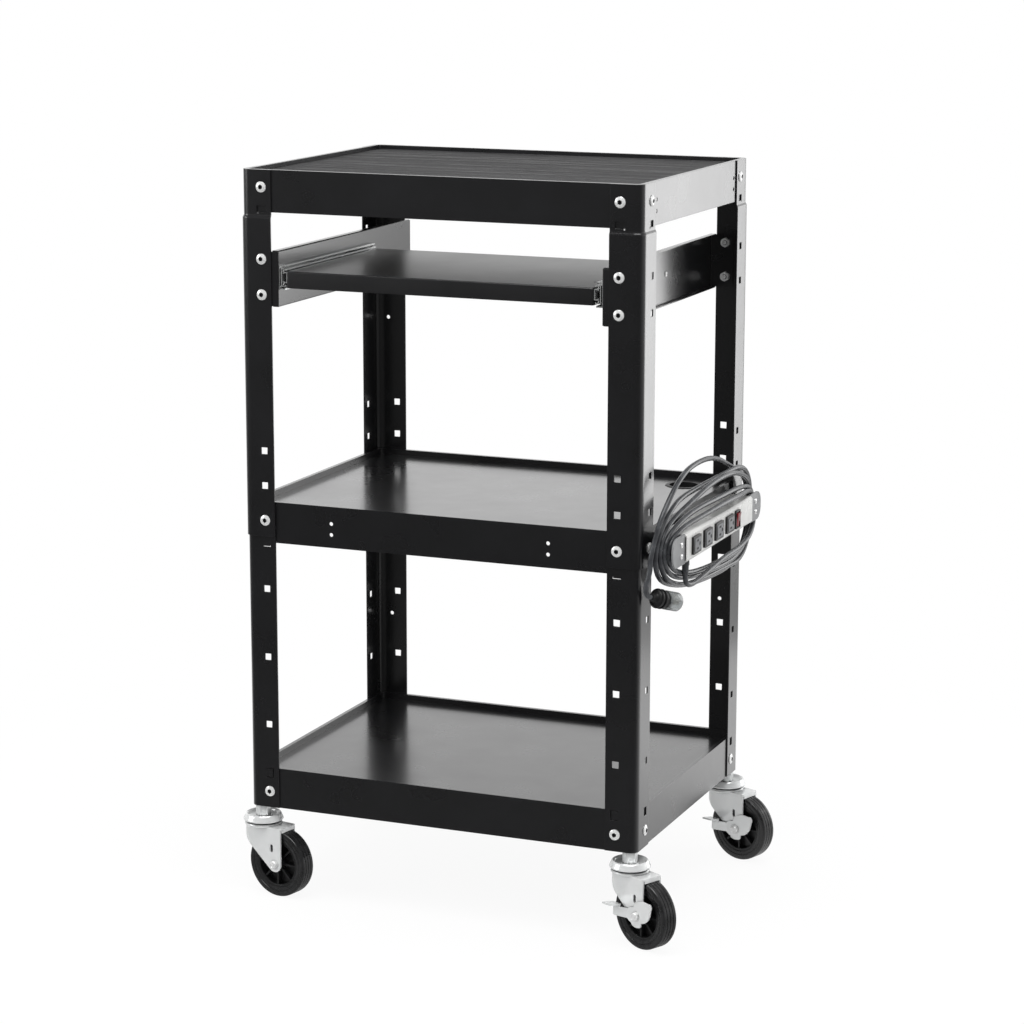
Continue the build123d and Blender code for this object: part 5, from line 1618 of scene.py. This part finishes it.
@dataclass
class OutletStrip:
    """The power strip: housing, ends, sockets, switch, screws and the cord's strain relief."""

    face: float = 43.0
    socket_width: float = 33.0
    socket_height: float = 25.0
    socket_proud: float = 4.0
    strip_start: float = -151.0
    first: float = 0.1224 * 294.0
    pitch: float = 0.1684 * 294.0
    sockets: int = 4
    switch_middle: float = 143.0 - 0.2517 * 294.0

    def on_strip(self, surface: Surface) -> Surface:
        """Shift a surface from the strip's own middle to its place on the cart."""
        return surface.moved(HALF_WIDTH, 0, STRIP_MIDDLE)

    def from_face(self, surface: Surface, y: float) -> Surface:
        """Turn a surface that points up Z to point out of the strip, at a place along it.

        The surface's X then runs along the strip and its Y upwards.

        Args:
            surface: the surface to turn.
            y: its place along the strip.

        Returns:
            The surface in its place.
        """
        points = surface.points[:, (2, 0, 1)]
        turned_out = Surface(points, surface.faces)
        return self.on_strip(turned_out.moved(self.face, y, 0))

    def socket(self) -> tuple[Surface, Surface]:
        """A socket's black body and its grey facing with two slots and a round ground hole.

        Returns:
            The body and the facing, drawn flat about the socket's middle.
        """
        proud = self.socket_proud
        body = plate(
            box_outline(self.socket_width, self.socket_height, 2.0), proud - 9.0, proud - 0.7,
        )
        slots = [box_outline(8.6, 3.2, 0.6, 3) + np.array((-2.0, up * 5.6)) for up in (-1, 1)]
        ground = circle(7.6, 0.0, 2.9, 20)
        outline = box_outline(self.socket_width - 8.0, self.socket_height - 6.0, 3.0)
        facing = plate(outline, proud - 0.9, proud, [*slots, ground])
        return body, facing

    def rocker(self) -> Surface:
        """The switch's lens: its height over the bezel dips as a shallow curve and tilts.

        Returns:
            The lens about its own middle, tilted.
        """
        u = np.linspace(-1, 1, 25)
        crest = 3.4 + 0.55 * u**2
        width = 7.45
        z = 10.4 * u
        rows = []
        for side in (-1, 1):
            rows.append(np.stack([crest - 0.35, np.full(25, side * width), z], -1))
            rows.append(np.stack([crest, np.full(25, side * (width - 0.5)), z], -1))
        back = np.full(25, -5.0)
        low = np.stack([back, np.full(25, -width), z * 0.8], -1)
        high = np.stack([back, np.full(25, width), z * 0.8], -1)
        loop = np.stack([low, rows[0], rows[1], rows[3], rows[2], high], 1)
        body = sheet(loop, wrap_v=True)
        last = 6 * 24
        body.faces += [[5, 4, 3, 2, 1, 0], [last + i for i in range(6)]]
        return body.turned(8.0, "Y")

    def relief(self) -> Surface:
        """The tapered strain relief: rings that shrink and get closer towards its tip.

        Returns:
            The relief, with its tip down.
        """
        profile = [(0.0, 0.0), (5.6, 0.0), (5.6, -6.0)]
        z = -6.0
        for i in range(5):
            r = 5.1 - 0.12 * i
            profile += [(r, z), (r - 0.1, z - 1.7), (r - 0.55, z - 1.9), (r - 0.55, z - 2.7)]
            z -= 2.7
        profile += [(4.4, -19.5), (4.2, -20.0), (0.0, -20.0)]
        return turned(profile, 32)

    def build(self) -> None:
        """Dress the strip's CAD pieces and make its sockets, switch, screws and relief."""
        dress(["strip_housing"], ENAMEL)
        dress(["strip_ends"], GREY_ABS)
        dress(["strip_standoffs"], BLACK_PAINT)
        black: list[Surface] = []
        grey: list[Surface] = []
        for i in range(self.sockets):
            y = self.strip_start + self.first + self.pitch * i
            body, facing = self.socket()
            black.append(self.from_face(body, y))
            grey.append(self.from_face(facing, y))
        piece("socket_bodies", black, SOCKET_BLACK, "frame", ["socket_inserts"], bevel=0.4)
        piece("socket_facings", grey, SOCKET_FACE, "frame", [], bevel=0.25)
        window = box_outline(15.8, 23.2, 0.6)
        frame_outline = box_outline(19.8, 27.2, 1.8)
        bezel = plate(frame_outline, 0.0, 3.0, [window])
        bezel = self.from_face(bezel, self.switch_middle)
        piece("switch_frame", [bezel], SOCKET_BLACK, "frame", ["switch_bezel"], bevel=0.5)
        lens = self.rocker().moved(HALF_WIDTH + self.face, self.switch_middle, STRIP_MIDDLE)
        piece("switch_lens", [lens], RED_LENS, "rocker_switch", ["rocker_switch"], bevel=0.3)
        self.screws()
        relief = self.on_strip(self.relief().moved(36.0, -137.0, -20.0))
        piece("cord_relief", [relief], VINYL, "frame", ["cord_gland"])

    def screws(self) -> None:
        """The pan heads that hold the stand-offs to the apron and the ears to the stand-offs."""
        heads = []
        for end in (-1, 1):
            for up in (-1, 1):
                for x, grip in ((-0.4, 2.7), (40.0, 4.0)):
                    head = pan_head(4.0, 2.0, grip).turned(90, "Y")
                    heads.append(self.on_strip(head.moved(x, end * 166.5, up * 8.0)))
        piece("strip_screw_heads", heads, BRIGHT_HEAD, "frame", ["standoff_screws"])


@dataclass
class MainsCord:
    """The mains lead wound round the two stand-offs, its tail, and its covered plug."""

    radius: float = 3.75
    loops: int = 4
    length: float = 4.62
    bow: float = 0.82
    plug_way: tuple[float, float, float] = (0.42, 0.86, -0.28)

    def slack(self) -> dict[int, tuple[float, float, float]]:
        """How far points of the winding are moved one by one from even loops, by point number.

        Returns:
            The shift of each moved point.
        """
        first_loop = {7: (4, 0, -4), 8: (4, 0, -3), 9: (3, 0, -3), 14: (1, 0, 1), 15: (1, 0, 2)}
        second_loop = {
            22: (2, 2, -2), 23: (3, 0, -4), 24: (3, 0, -5), 25: (2, 0, -1), 26: (1, 0, 0),
            29: (0, -1, 1), 30: (1, 0, 3), 31: (1, 0, 4),
        }
        third_loop = {
            37: (0, 0, 3), 38: (3, 3, 4), 39: (5, 0, 9), 40: (5, -4, 7), 41: (4, 4, -2),
            42: (-1, 3, -4), 43: (0, 2, -2), 45: (1, 0, 0), 46: (3, 0, 2), 47: (2, 0, 4),
            48: (0, 0, 3), 49: (2, 0, -5), 50: (3, 0, -4), 51: (2, -2, -1),
        }
        outer_loop = {
            53: (3, 1, 3), 54: (4, 6, 6), 55: (2, 8, -8), 56: (0, 4, -13), 57: (0, 6, -9),
            58: (4, 6, -4), 59: (3, 4, 0), 61: (-2, 0, 5), 62: (-2, 2, 10), 63: (-2, 0, 10),
            64: (-1, 0, 6), 65: (-1, 0, 4), 66: (-1, 0, 1),
        }
        last_rise = {
            69: (-1, 3, -6), 70: (-2, 4, -13), 71: (4, -12, 6), 72: (11, 6, 7), 73: (12, 8, 0),
            74: (11, 9, -3), 75: (7, 7, 0),
        }
        return first_loop | second_loop | third_loop | outer_loop | last_rise

    def quarters(self) -> np.ndarray:
        """The bottom, back, top and front point of each loop.

        Each loop is wider than the one before, and the tops rise and lean forward faster.

        Returns:
            The points, loop by loop, about the strip's middle.
        """
        n = np.arange(self.loops + 1.0)
        bottom = np.stack([36 - 4.8 * n, 85 + 0 * n, -48 - 10.4 * n], -1)
        bottom[0] = (42.0, 85.0, -46.0)
        back = np.stack([31 - 4.6 * n, 187 + 7.6 * n, 0 * n], -1)
        top = np.stack([38 - 6.25 * n, 20 - 7 * n**2, 37 + 8 * n + 1.8 * n**2], -1)
        front = np.stack([26 - 2.8 * n, -188 - 8.7 * n, 0 * n], -1)
        return np.stack([bottom, back, top, front], 1).reshape(-1, 3)

    def winding(self) -> np.ndarray:
        """The winding's control points, four to each quarter turn.

        Between two quarter points the distance covered along one axis goes as the sine of a
        quarter circle's angle to a power, and along the other as one less its cosine to the same
        power, so a loop is a long oval with fuller ends; the offset from the cart changes evenly.

        Returns:
            The control points, with the moved ones in their places.
        """
        marks = self.quarters()
        angle = np.arange(4) / 4 * math.pi / 2
        fast = np.sin(angle)[:, None] ** self.bow
        slow = 1 - np.cos(angle)[:, None] ** self.bow
        even = (np.arange(4) / 4)[:, None]
        found = []
        for i in range(len(marks) - 1):
            step = marks[i + 1] - marks[i]
            along, up = (fast, slow) if i % 2 == 0 else (slow, fast)
            found.append(marks[i] + np.hstack([even * step[0], along * step[1], up * step[2]]))
        points = np.vstack(found)
        moved = self.slack()
        points[list(moved)] += np.array(list(moved.values()))
        return points

    def plug_back(self) -> np.ndarray:
        """The middle of the plug's back face."""
        return self.quarters()[-1] + np.array((-1.0, 6.5, -57.0))

    def route(self) -> np.ndarray:
        """All control points, from the strain relief to the plug.

        Returns:
            The control points about the strip's middle.
        """
        lead = np.array(
            [
                CORD_EXIT, (36.0, -137.0, -48.0), (36.8, -131.0, -55.5),
                (38.0, -117.0, -58.5), (39.8, -88.2, -56.5), (41.3, -39.3, -51.0),
                (42.0, 25.1, -46.0),
            ]
        )
        last = self.quarters()[-1]
        tail = last + np.array(
            [
                (0.0, 0.0, 0.0), (0.0, 0.0, -15.0), (-1.2, -3.0, -26.0), (-3.0, -5.5, -36.0),
                (-4.8, -5.0, -45.5),
            ]
        )
        back = self.plug_back()
        ends = np.stack([back - 7.5 * np.array(self.plug_way), back])
        return np.vstack([lead, self.winding(), tail, ends])

    def cord(self) -> bpy.types.Object:
        """One NURBS curve through the route, with the cord's round section.

        Returns:
            The cord's object.
        """
        points = self.route() + np.array((HALF_WIDTH, 0, STRIP_MIDDLE)) + np.array(CENTRE)
        curve = bpy.data.curves.new("wound_cord", "CURVE")
        curve.dimensions = "3D"
        spline = curve.splines.new("NURBS")
        spline.points.add(len(points) - 1)
        flat = np.column_stack([points * MM, np.ones(len(points))]).astype(np.float32)
        spline.points.foreach_set("co", flat.ravel())
        spline.order_u = 3
        spline.use_endpoint_u = True
        curve.resolution_u = 6
        curve.bevel_depth = self.radius * MM
        curve.bevel_resolution = 4
        curve.use_fill_caps = True
        curve.materials.append(VINYL.material())
        thing = bpy.data.objects.new("wound_cord", curve)
        bpy.context.scene.collection.objects.link(thing)
        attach(thing, "frame")
        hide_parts("cord_lead", "cord_winding", "cord_end")
        return thing

    def plug_part(self, surface: Surface) -> Surface:
        """Take a surface that points up Z to the plug's place.

        Args:
            surface: a surface in the plug's own frame.

        Returns:
            The surface in its place.
        """
        matrix = self.plug_frame()
        points = surface.points @ matrix.T + self.plug_back()
        return Surface(points, surface.faces).moved(HALF_WIDTH, 0, STRIP_MIDDLE)

    def plug_frame(self) -> np.ndarray:
        """The plug's axes as columns: Z along it, X level across it.

        Returns:
            The three axes.
        """
        z = np.array(self.plug_way) / np.linalg.norm(self.plug_way)
        x = np.cross((0.0, 0.0, 1.0), z)
        x /= np.linalg.norm(x)
        return np.stack([x, np.cross(z, x), z], -1)

    def plug(self) -> list[bpy.types.Object]:
        """The plug body with its finger rings, its blades, and the clear cap over them.

        Returns:
            The three objects.
        """
        body = [
            (0.0, 0.0), (5.2, 0.0), (5.6, 2.0), (6.4, 6.0), (7.4, 7.6), (10.6, 8.2), (12.0, 9.6),
            (12.0, 10.9), (13.6, 11.2), (14.0, 12.5), (13.6, 13.8), (12.0, 14.1), (12.0, 17.9),
            (13.6, 18.2), (14.0, 19.5), (13.6, 20.8), (12.0, 21.1), (12.0, 32.2), (11.4, 33.0),
            (0.0, 33.0),
        ]
        blade = box_outline(1.6, 6.4, 0.6, 3)
        blades = [plate(blade + np.array((side * 6.35, 0.0)), 32.5, 49.0) for side in (-1, 1)]
        pin = [(0.0, 32.5), (2.4, 32.5), (2.4, 47.6), (1.4, 49.0), (0.0, 49.0)]
        blades.append(turned(pin, 24).moved(0, 7, 0))
        cap = [
            (12.2, 28.0), (12.6, 27.7), (13.1, 27.8), (13.4, 28.4), (13.4, 50.6), (12.8, 51.6),
            (11.6, 52.0), (0.0, 52.0), (0.0, 50.8), (11.4, 50.8), (12.0, 50.4), (12.2, 49.6),
        ]
        made = [
            piece("plug_body", [self.plug_part(turned(body, 48))], PLUG_VINYL, "frame", ["plug"]),
            piece("plug_blades", [self.plug_part(b) for b in blades], BLADE_METAL, "frame", []),
            piece(
                "plug_cap", [self.plug_part(turned(cap, 48))], CLEAR_VINYL, "frame", ["plug_cover"]
            ),
        ]
        return made

    def build(self) -> None:
        cord = self.cord()
        plug = self.plug()
        LOG.info("cord: %d control points", len(self.route()))


@dataclass
class Studio:
    """The pale floor, the soft room and lamps, and the camera at the photograph's place."""

    camera_at: tuple[float, float, float] = (1.6276, -3.9647, 1.4495)
    camera_way: tuple[float, float, float] = (-0.3724, 0.9055, -0.2035)
    roll: float = 0.092
    focal_pixels: float = 2979.1
    image_pixels: float = 1024.0

    def camera(self) -> None:
        """The camera: a sensor of 36 mm for the square frame, so the lens follows from pixels."""
        data = bpy.data.cameras.new("camera")
        data.sensor_width = 36.0
        data.lens = self.focal_pixels / self.image_pixels * data.sensor_width
        data.clip_end = 100.0
        thing = bpy.data.objects.new("camera", data)
        bpy.context.scene.collection.objects.link(thing)
        thing.location = self.camera_at
        turn = Vector(self.camera_way).to_track_quat("-Z", "Y").to_matrix()
        roll = Matrix.Rotation(math.radians(self.roll), 3, "Z")
        thing.rotation_euler = (turn @ roll).to_euler()
        bpy.context.scene.camera = thing

    def lamp(
        self, name: str, at: Sequence[float], aim: Sequence[float], size: float, power: float
    ) -> None:
        """One square soft lamp that faces a point and isn't itself seen.

        Args:
            name: of the lamp.
            at: its place, in metres.
            aim: the point that it faces.
            size: of its side, in metres.
            power: in watts.
        """
        data = bpy.data.lights.new(name, "AREA")
        data.shape = "SQUARE"
        data.size = size
        data.energy = power
        thing = bpy.data.objects.new(name, data)
        bpy.context.scene.collection.objects.link(thing)
        thing.location = at
        way = Vector(aim) - Vector(at)
        thing.rotation_euler = way.to_track_quat("-Z", "Y").to_euler()
        thing.visible_camera = False

    def world(self) -> None:
        """White where the camera looks; for gloss a room that is bright behind the cart."""
        world = bpy.data.worlds.new("soft room")
        bpy.context.scene.world = world
        world.use_nodes = True
        tree = world.node_tree
        tree.nodes.clear()
        ray = add_node(tree, "ShaderNodeLightPath")
        room = add_node(tree, "ShaderNodeBackground", {}, {"Strength": self.room(tree)})
        white = add_node(tree, "ShaderNodeBackground", {"Strength": 1.0})
        soft = add_node(tree, "ShaderNodeBackground", {"Strength": 0.72})
        for node in (room, white, soft):
            node.inputs["Color"].default_value = (1, 1, 1, 1)
        links = {0: ray.outputs["Is Glossy Ray"], 1: soft.outputs[0], 2: room.outputs[0]}
        lit = add_node(tree, "ShaderNodeMixShader", {}, links)
        links = {0: ray.outputs["Is Camera Ray"], 1: lit.outputs[0], 2: white.outputs[0]}
        seen = add_node(tree, "ShaderNodeMixShader", {}, links)
        add_node(tree, "ShaderNodeOutputWorld", {}, {"Surface": seen.outputs[0]})

    def room(self, tree: bpy.types.NodeTree) -> bpy.types.NodeSocket:
        """How bright the room is to gloss: it grows towards the back, times a band by height.

        Args:
            tree: the world's tree.

        Returns:
            The strength in each direction.
        """
        way = add_node(tree, "ShaderNodeTexCoord").outputs["Generated"]
        backwards = {"operation": "DOT_PRODUCT", 1: (0.1, 0.99, 0.0)}
        facing = add_node(tree, "ShaderNodeVectorMath", backwards, {0: way})
        span = {"From Min": -0.35, "From Max": 0.6, "To Min": 0.19, "To Max": 1.06}
        glow = add_node(tree, "ShaderNodeMapRange", span, {"Value": facing.outputs["Value"]})
        rise = add_node(tree, "ShaderNodeSeparateXYZ", {}, {"Vector": way})
        span = {"From Min": -1.0, "From Max": 1.0, "To Min": 0.0, "To Max": 1.0}
        level = add_node(tree, "ShaderNodeMapRange", span, {"Value": rise.outputs["Z"]})
        band = add_node(tree, "ShaderNodeValToRGB", {}, {"Fac": level.outputs[0]})
        shades = band.color_ramp.elements
        for place, shade in ((0.4, 0.42), (0.5, 0.62), (0.6, 1.0), (0.68, 0.55)):
            shades.new(place).color = (shade, shade, shade, 1)
        for end in (0, -1):
            shades[end].color = (0.4, 0.4, 0.4, 1)
        links = {0: glow.outputs[0], 1: band.outputs[0]}
        return add_node(tree, "ShaderNodeMath", {"operation": "MULTIPLY"}, links).outputs[0]

    def floor(self) -> None:
        """A round pale floor about the cart's middle."""
        angle = np.arange(96) * TAU / 96
        radius = np.array([0.0, 400.0, 900.0, 1600.0])[:, None]
        x = radius * np.cos(angle)
        y = radius * np.sin(angle)
        surface = sheet(np.stack([x, y, np.zeros_like(x)], -1), wrap_v=True)
        mesh = bpy.data.meshes.new("floor")
        mesh.from_pydata((surface.points * MM).tolist(), [], surface.faces)
        work = bmesh.new()
        work.from_mesh(mesh)
        bmesh.ops.remove_doubles(work, verts=work.verts, dist=1e-6)
        work.to_mesh(mesh)
        work.free()
        mesh.materials.append(self.paper())
        thing = bpy.data.objects.new("floor", mesh)
        bpy.context.scene.collection.objects.link(thing)
        thing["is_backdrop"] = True

    def paper(self) -> bpy.types.Material:
        """The floor's material: white paper that keeps part of the shadow near the cart.

        Returns:
            The material. To gloss it glows more towards the back, as the room does.
        """
        material = bpy.data.materials.new("white paper floor")
        material.use_nodes = True
        tree = material.node_tree
        tree.nodes.clear()
        paper = add_node(tree, "ShaderNodeBsdfDiffuse", {"Color": linear("#f4f4f4")})
        white = add_node(tree, "ShaderNodeEmission", {"Color": (1, 1, 1, 1), "Strength": 1.0})
        ray = add_node(tree, "ShaderNodeLightPath")
        place = add_node(tree, "ShaderNodeTexCoord").outputs["Object"]
        across = add_node(tree, "ShaderNodeSeparateXYZ", {}, {"Vector": place})
        away = add_node(tree, "ShaderNodeVectorMath", {"operation": "LENGTH"}, {0: place})
        span = {"From Min": 0.45, "From Max": 1.3, "To Min": 0.93, "To Max": 1.0}
        bare = add_node(tree, "ShaderNodeMapRange", span, {"Value": away.outputs["Value"]})
        links = {0: ray.outputs["Is Camera Ray"], 1: bare.outputs[0]}
        share = add_node(tree, "ShaderNodeMath", {"operation": "MULTIPLY"}, links)
        span = {"From Min": -0.5, "From Max": 0.7, "To Min": 0.12, "To Max": 1.0}
        mirrored = add_node(tree, "ShaderNodeMapRange", span, {"Value": across.outputs["Y"]})
        glow = add_node(tree, "ShaderNodeEmission", {}, {"Strength": mirrored.outputs[0]})
        links = {0: share.outputs[0], 1: paper.outputs[0], 2: white.outputs[0]}
        plain = add_node(tree, "ShaderNodeMixShader", {}, links)
        links = {0: ray.outputs["Is Glossy Ray"], 1: plain.outputs[0], 2: glow.outputs[0]}
        mixed = add_node(tree, "ShaderNodeMixShader", {}, links)
        add_node(tree, "ShaderNodeOutputMaterial", {}, {"Surface": mixed.outputs[0]})
        return material

    def build(self) -> None:
        """Set up the view, the room, the floor and the lamps."""
        bpy.context.scene.view_settings.view_transform = "Standard"
        self.camera()
        self.world()
        self.floor()
        self.lamp("top softbox", (0.3, -0.6, 3.2), (0, 0, 0.5), 2.2, 72.0)
        self.lamp("rim softbox", (1.3, 1.75, 0.7), (0.35, 0, 0.6), 1.1, 7.0)
        self.lamp("left fill", (-2.6, -1.6, 1.6), (0, 0, 0.5), 1.6, 20.0)


def main() -> None:
    """Build the studio and the cart, sub-assembly by sub-assembly, and note the two boxes."""
    logging.basicConfig(level=logging.INFO, format="%(message)s")
    cad_box = [list(corner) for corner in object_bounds()]
    Studio().build()
    MainsCord().build()
    SteelFrame().build()
    DeckFittings().build()
    KeyboardDrawer().build()
    casters = [
        Caster(corner, corner in (Corner.FRONT_RIGHT, Corner.BACK_RIGHT)) for corner in Corner
    ]
    for caster in casters:
        caster.build()
    stems = [c.placed(part, swings=False) for c in casters for part in c.stem()]
    piece("stems_and_raceways", stems, ZINC, "frame", ["caster_stems"])
    nuts = [c.placed(c.stem_nut(), swings=False) for c in casters]
    piece("stem_lock_nuts", nuts, BRIGHT_HEAD, "frame", ["stem_nuts"])
    OutletStrip().build()
    seen_box = [list(corner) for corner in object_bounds()]
    for low_high, pair in zip(("low", "high"), zip(cad_box, seen_box)):
        gap = [round((seen - cad) * 1000, 2) for cad, seen in zip(*pair)]
        LOG.info("visual past the CAD box at its %s corner, mm: %s", low_high, gap)


if __name__ == "__main__":
    main()
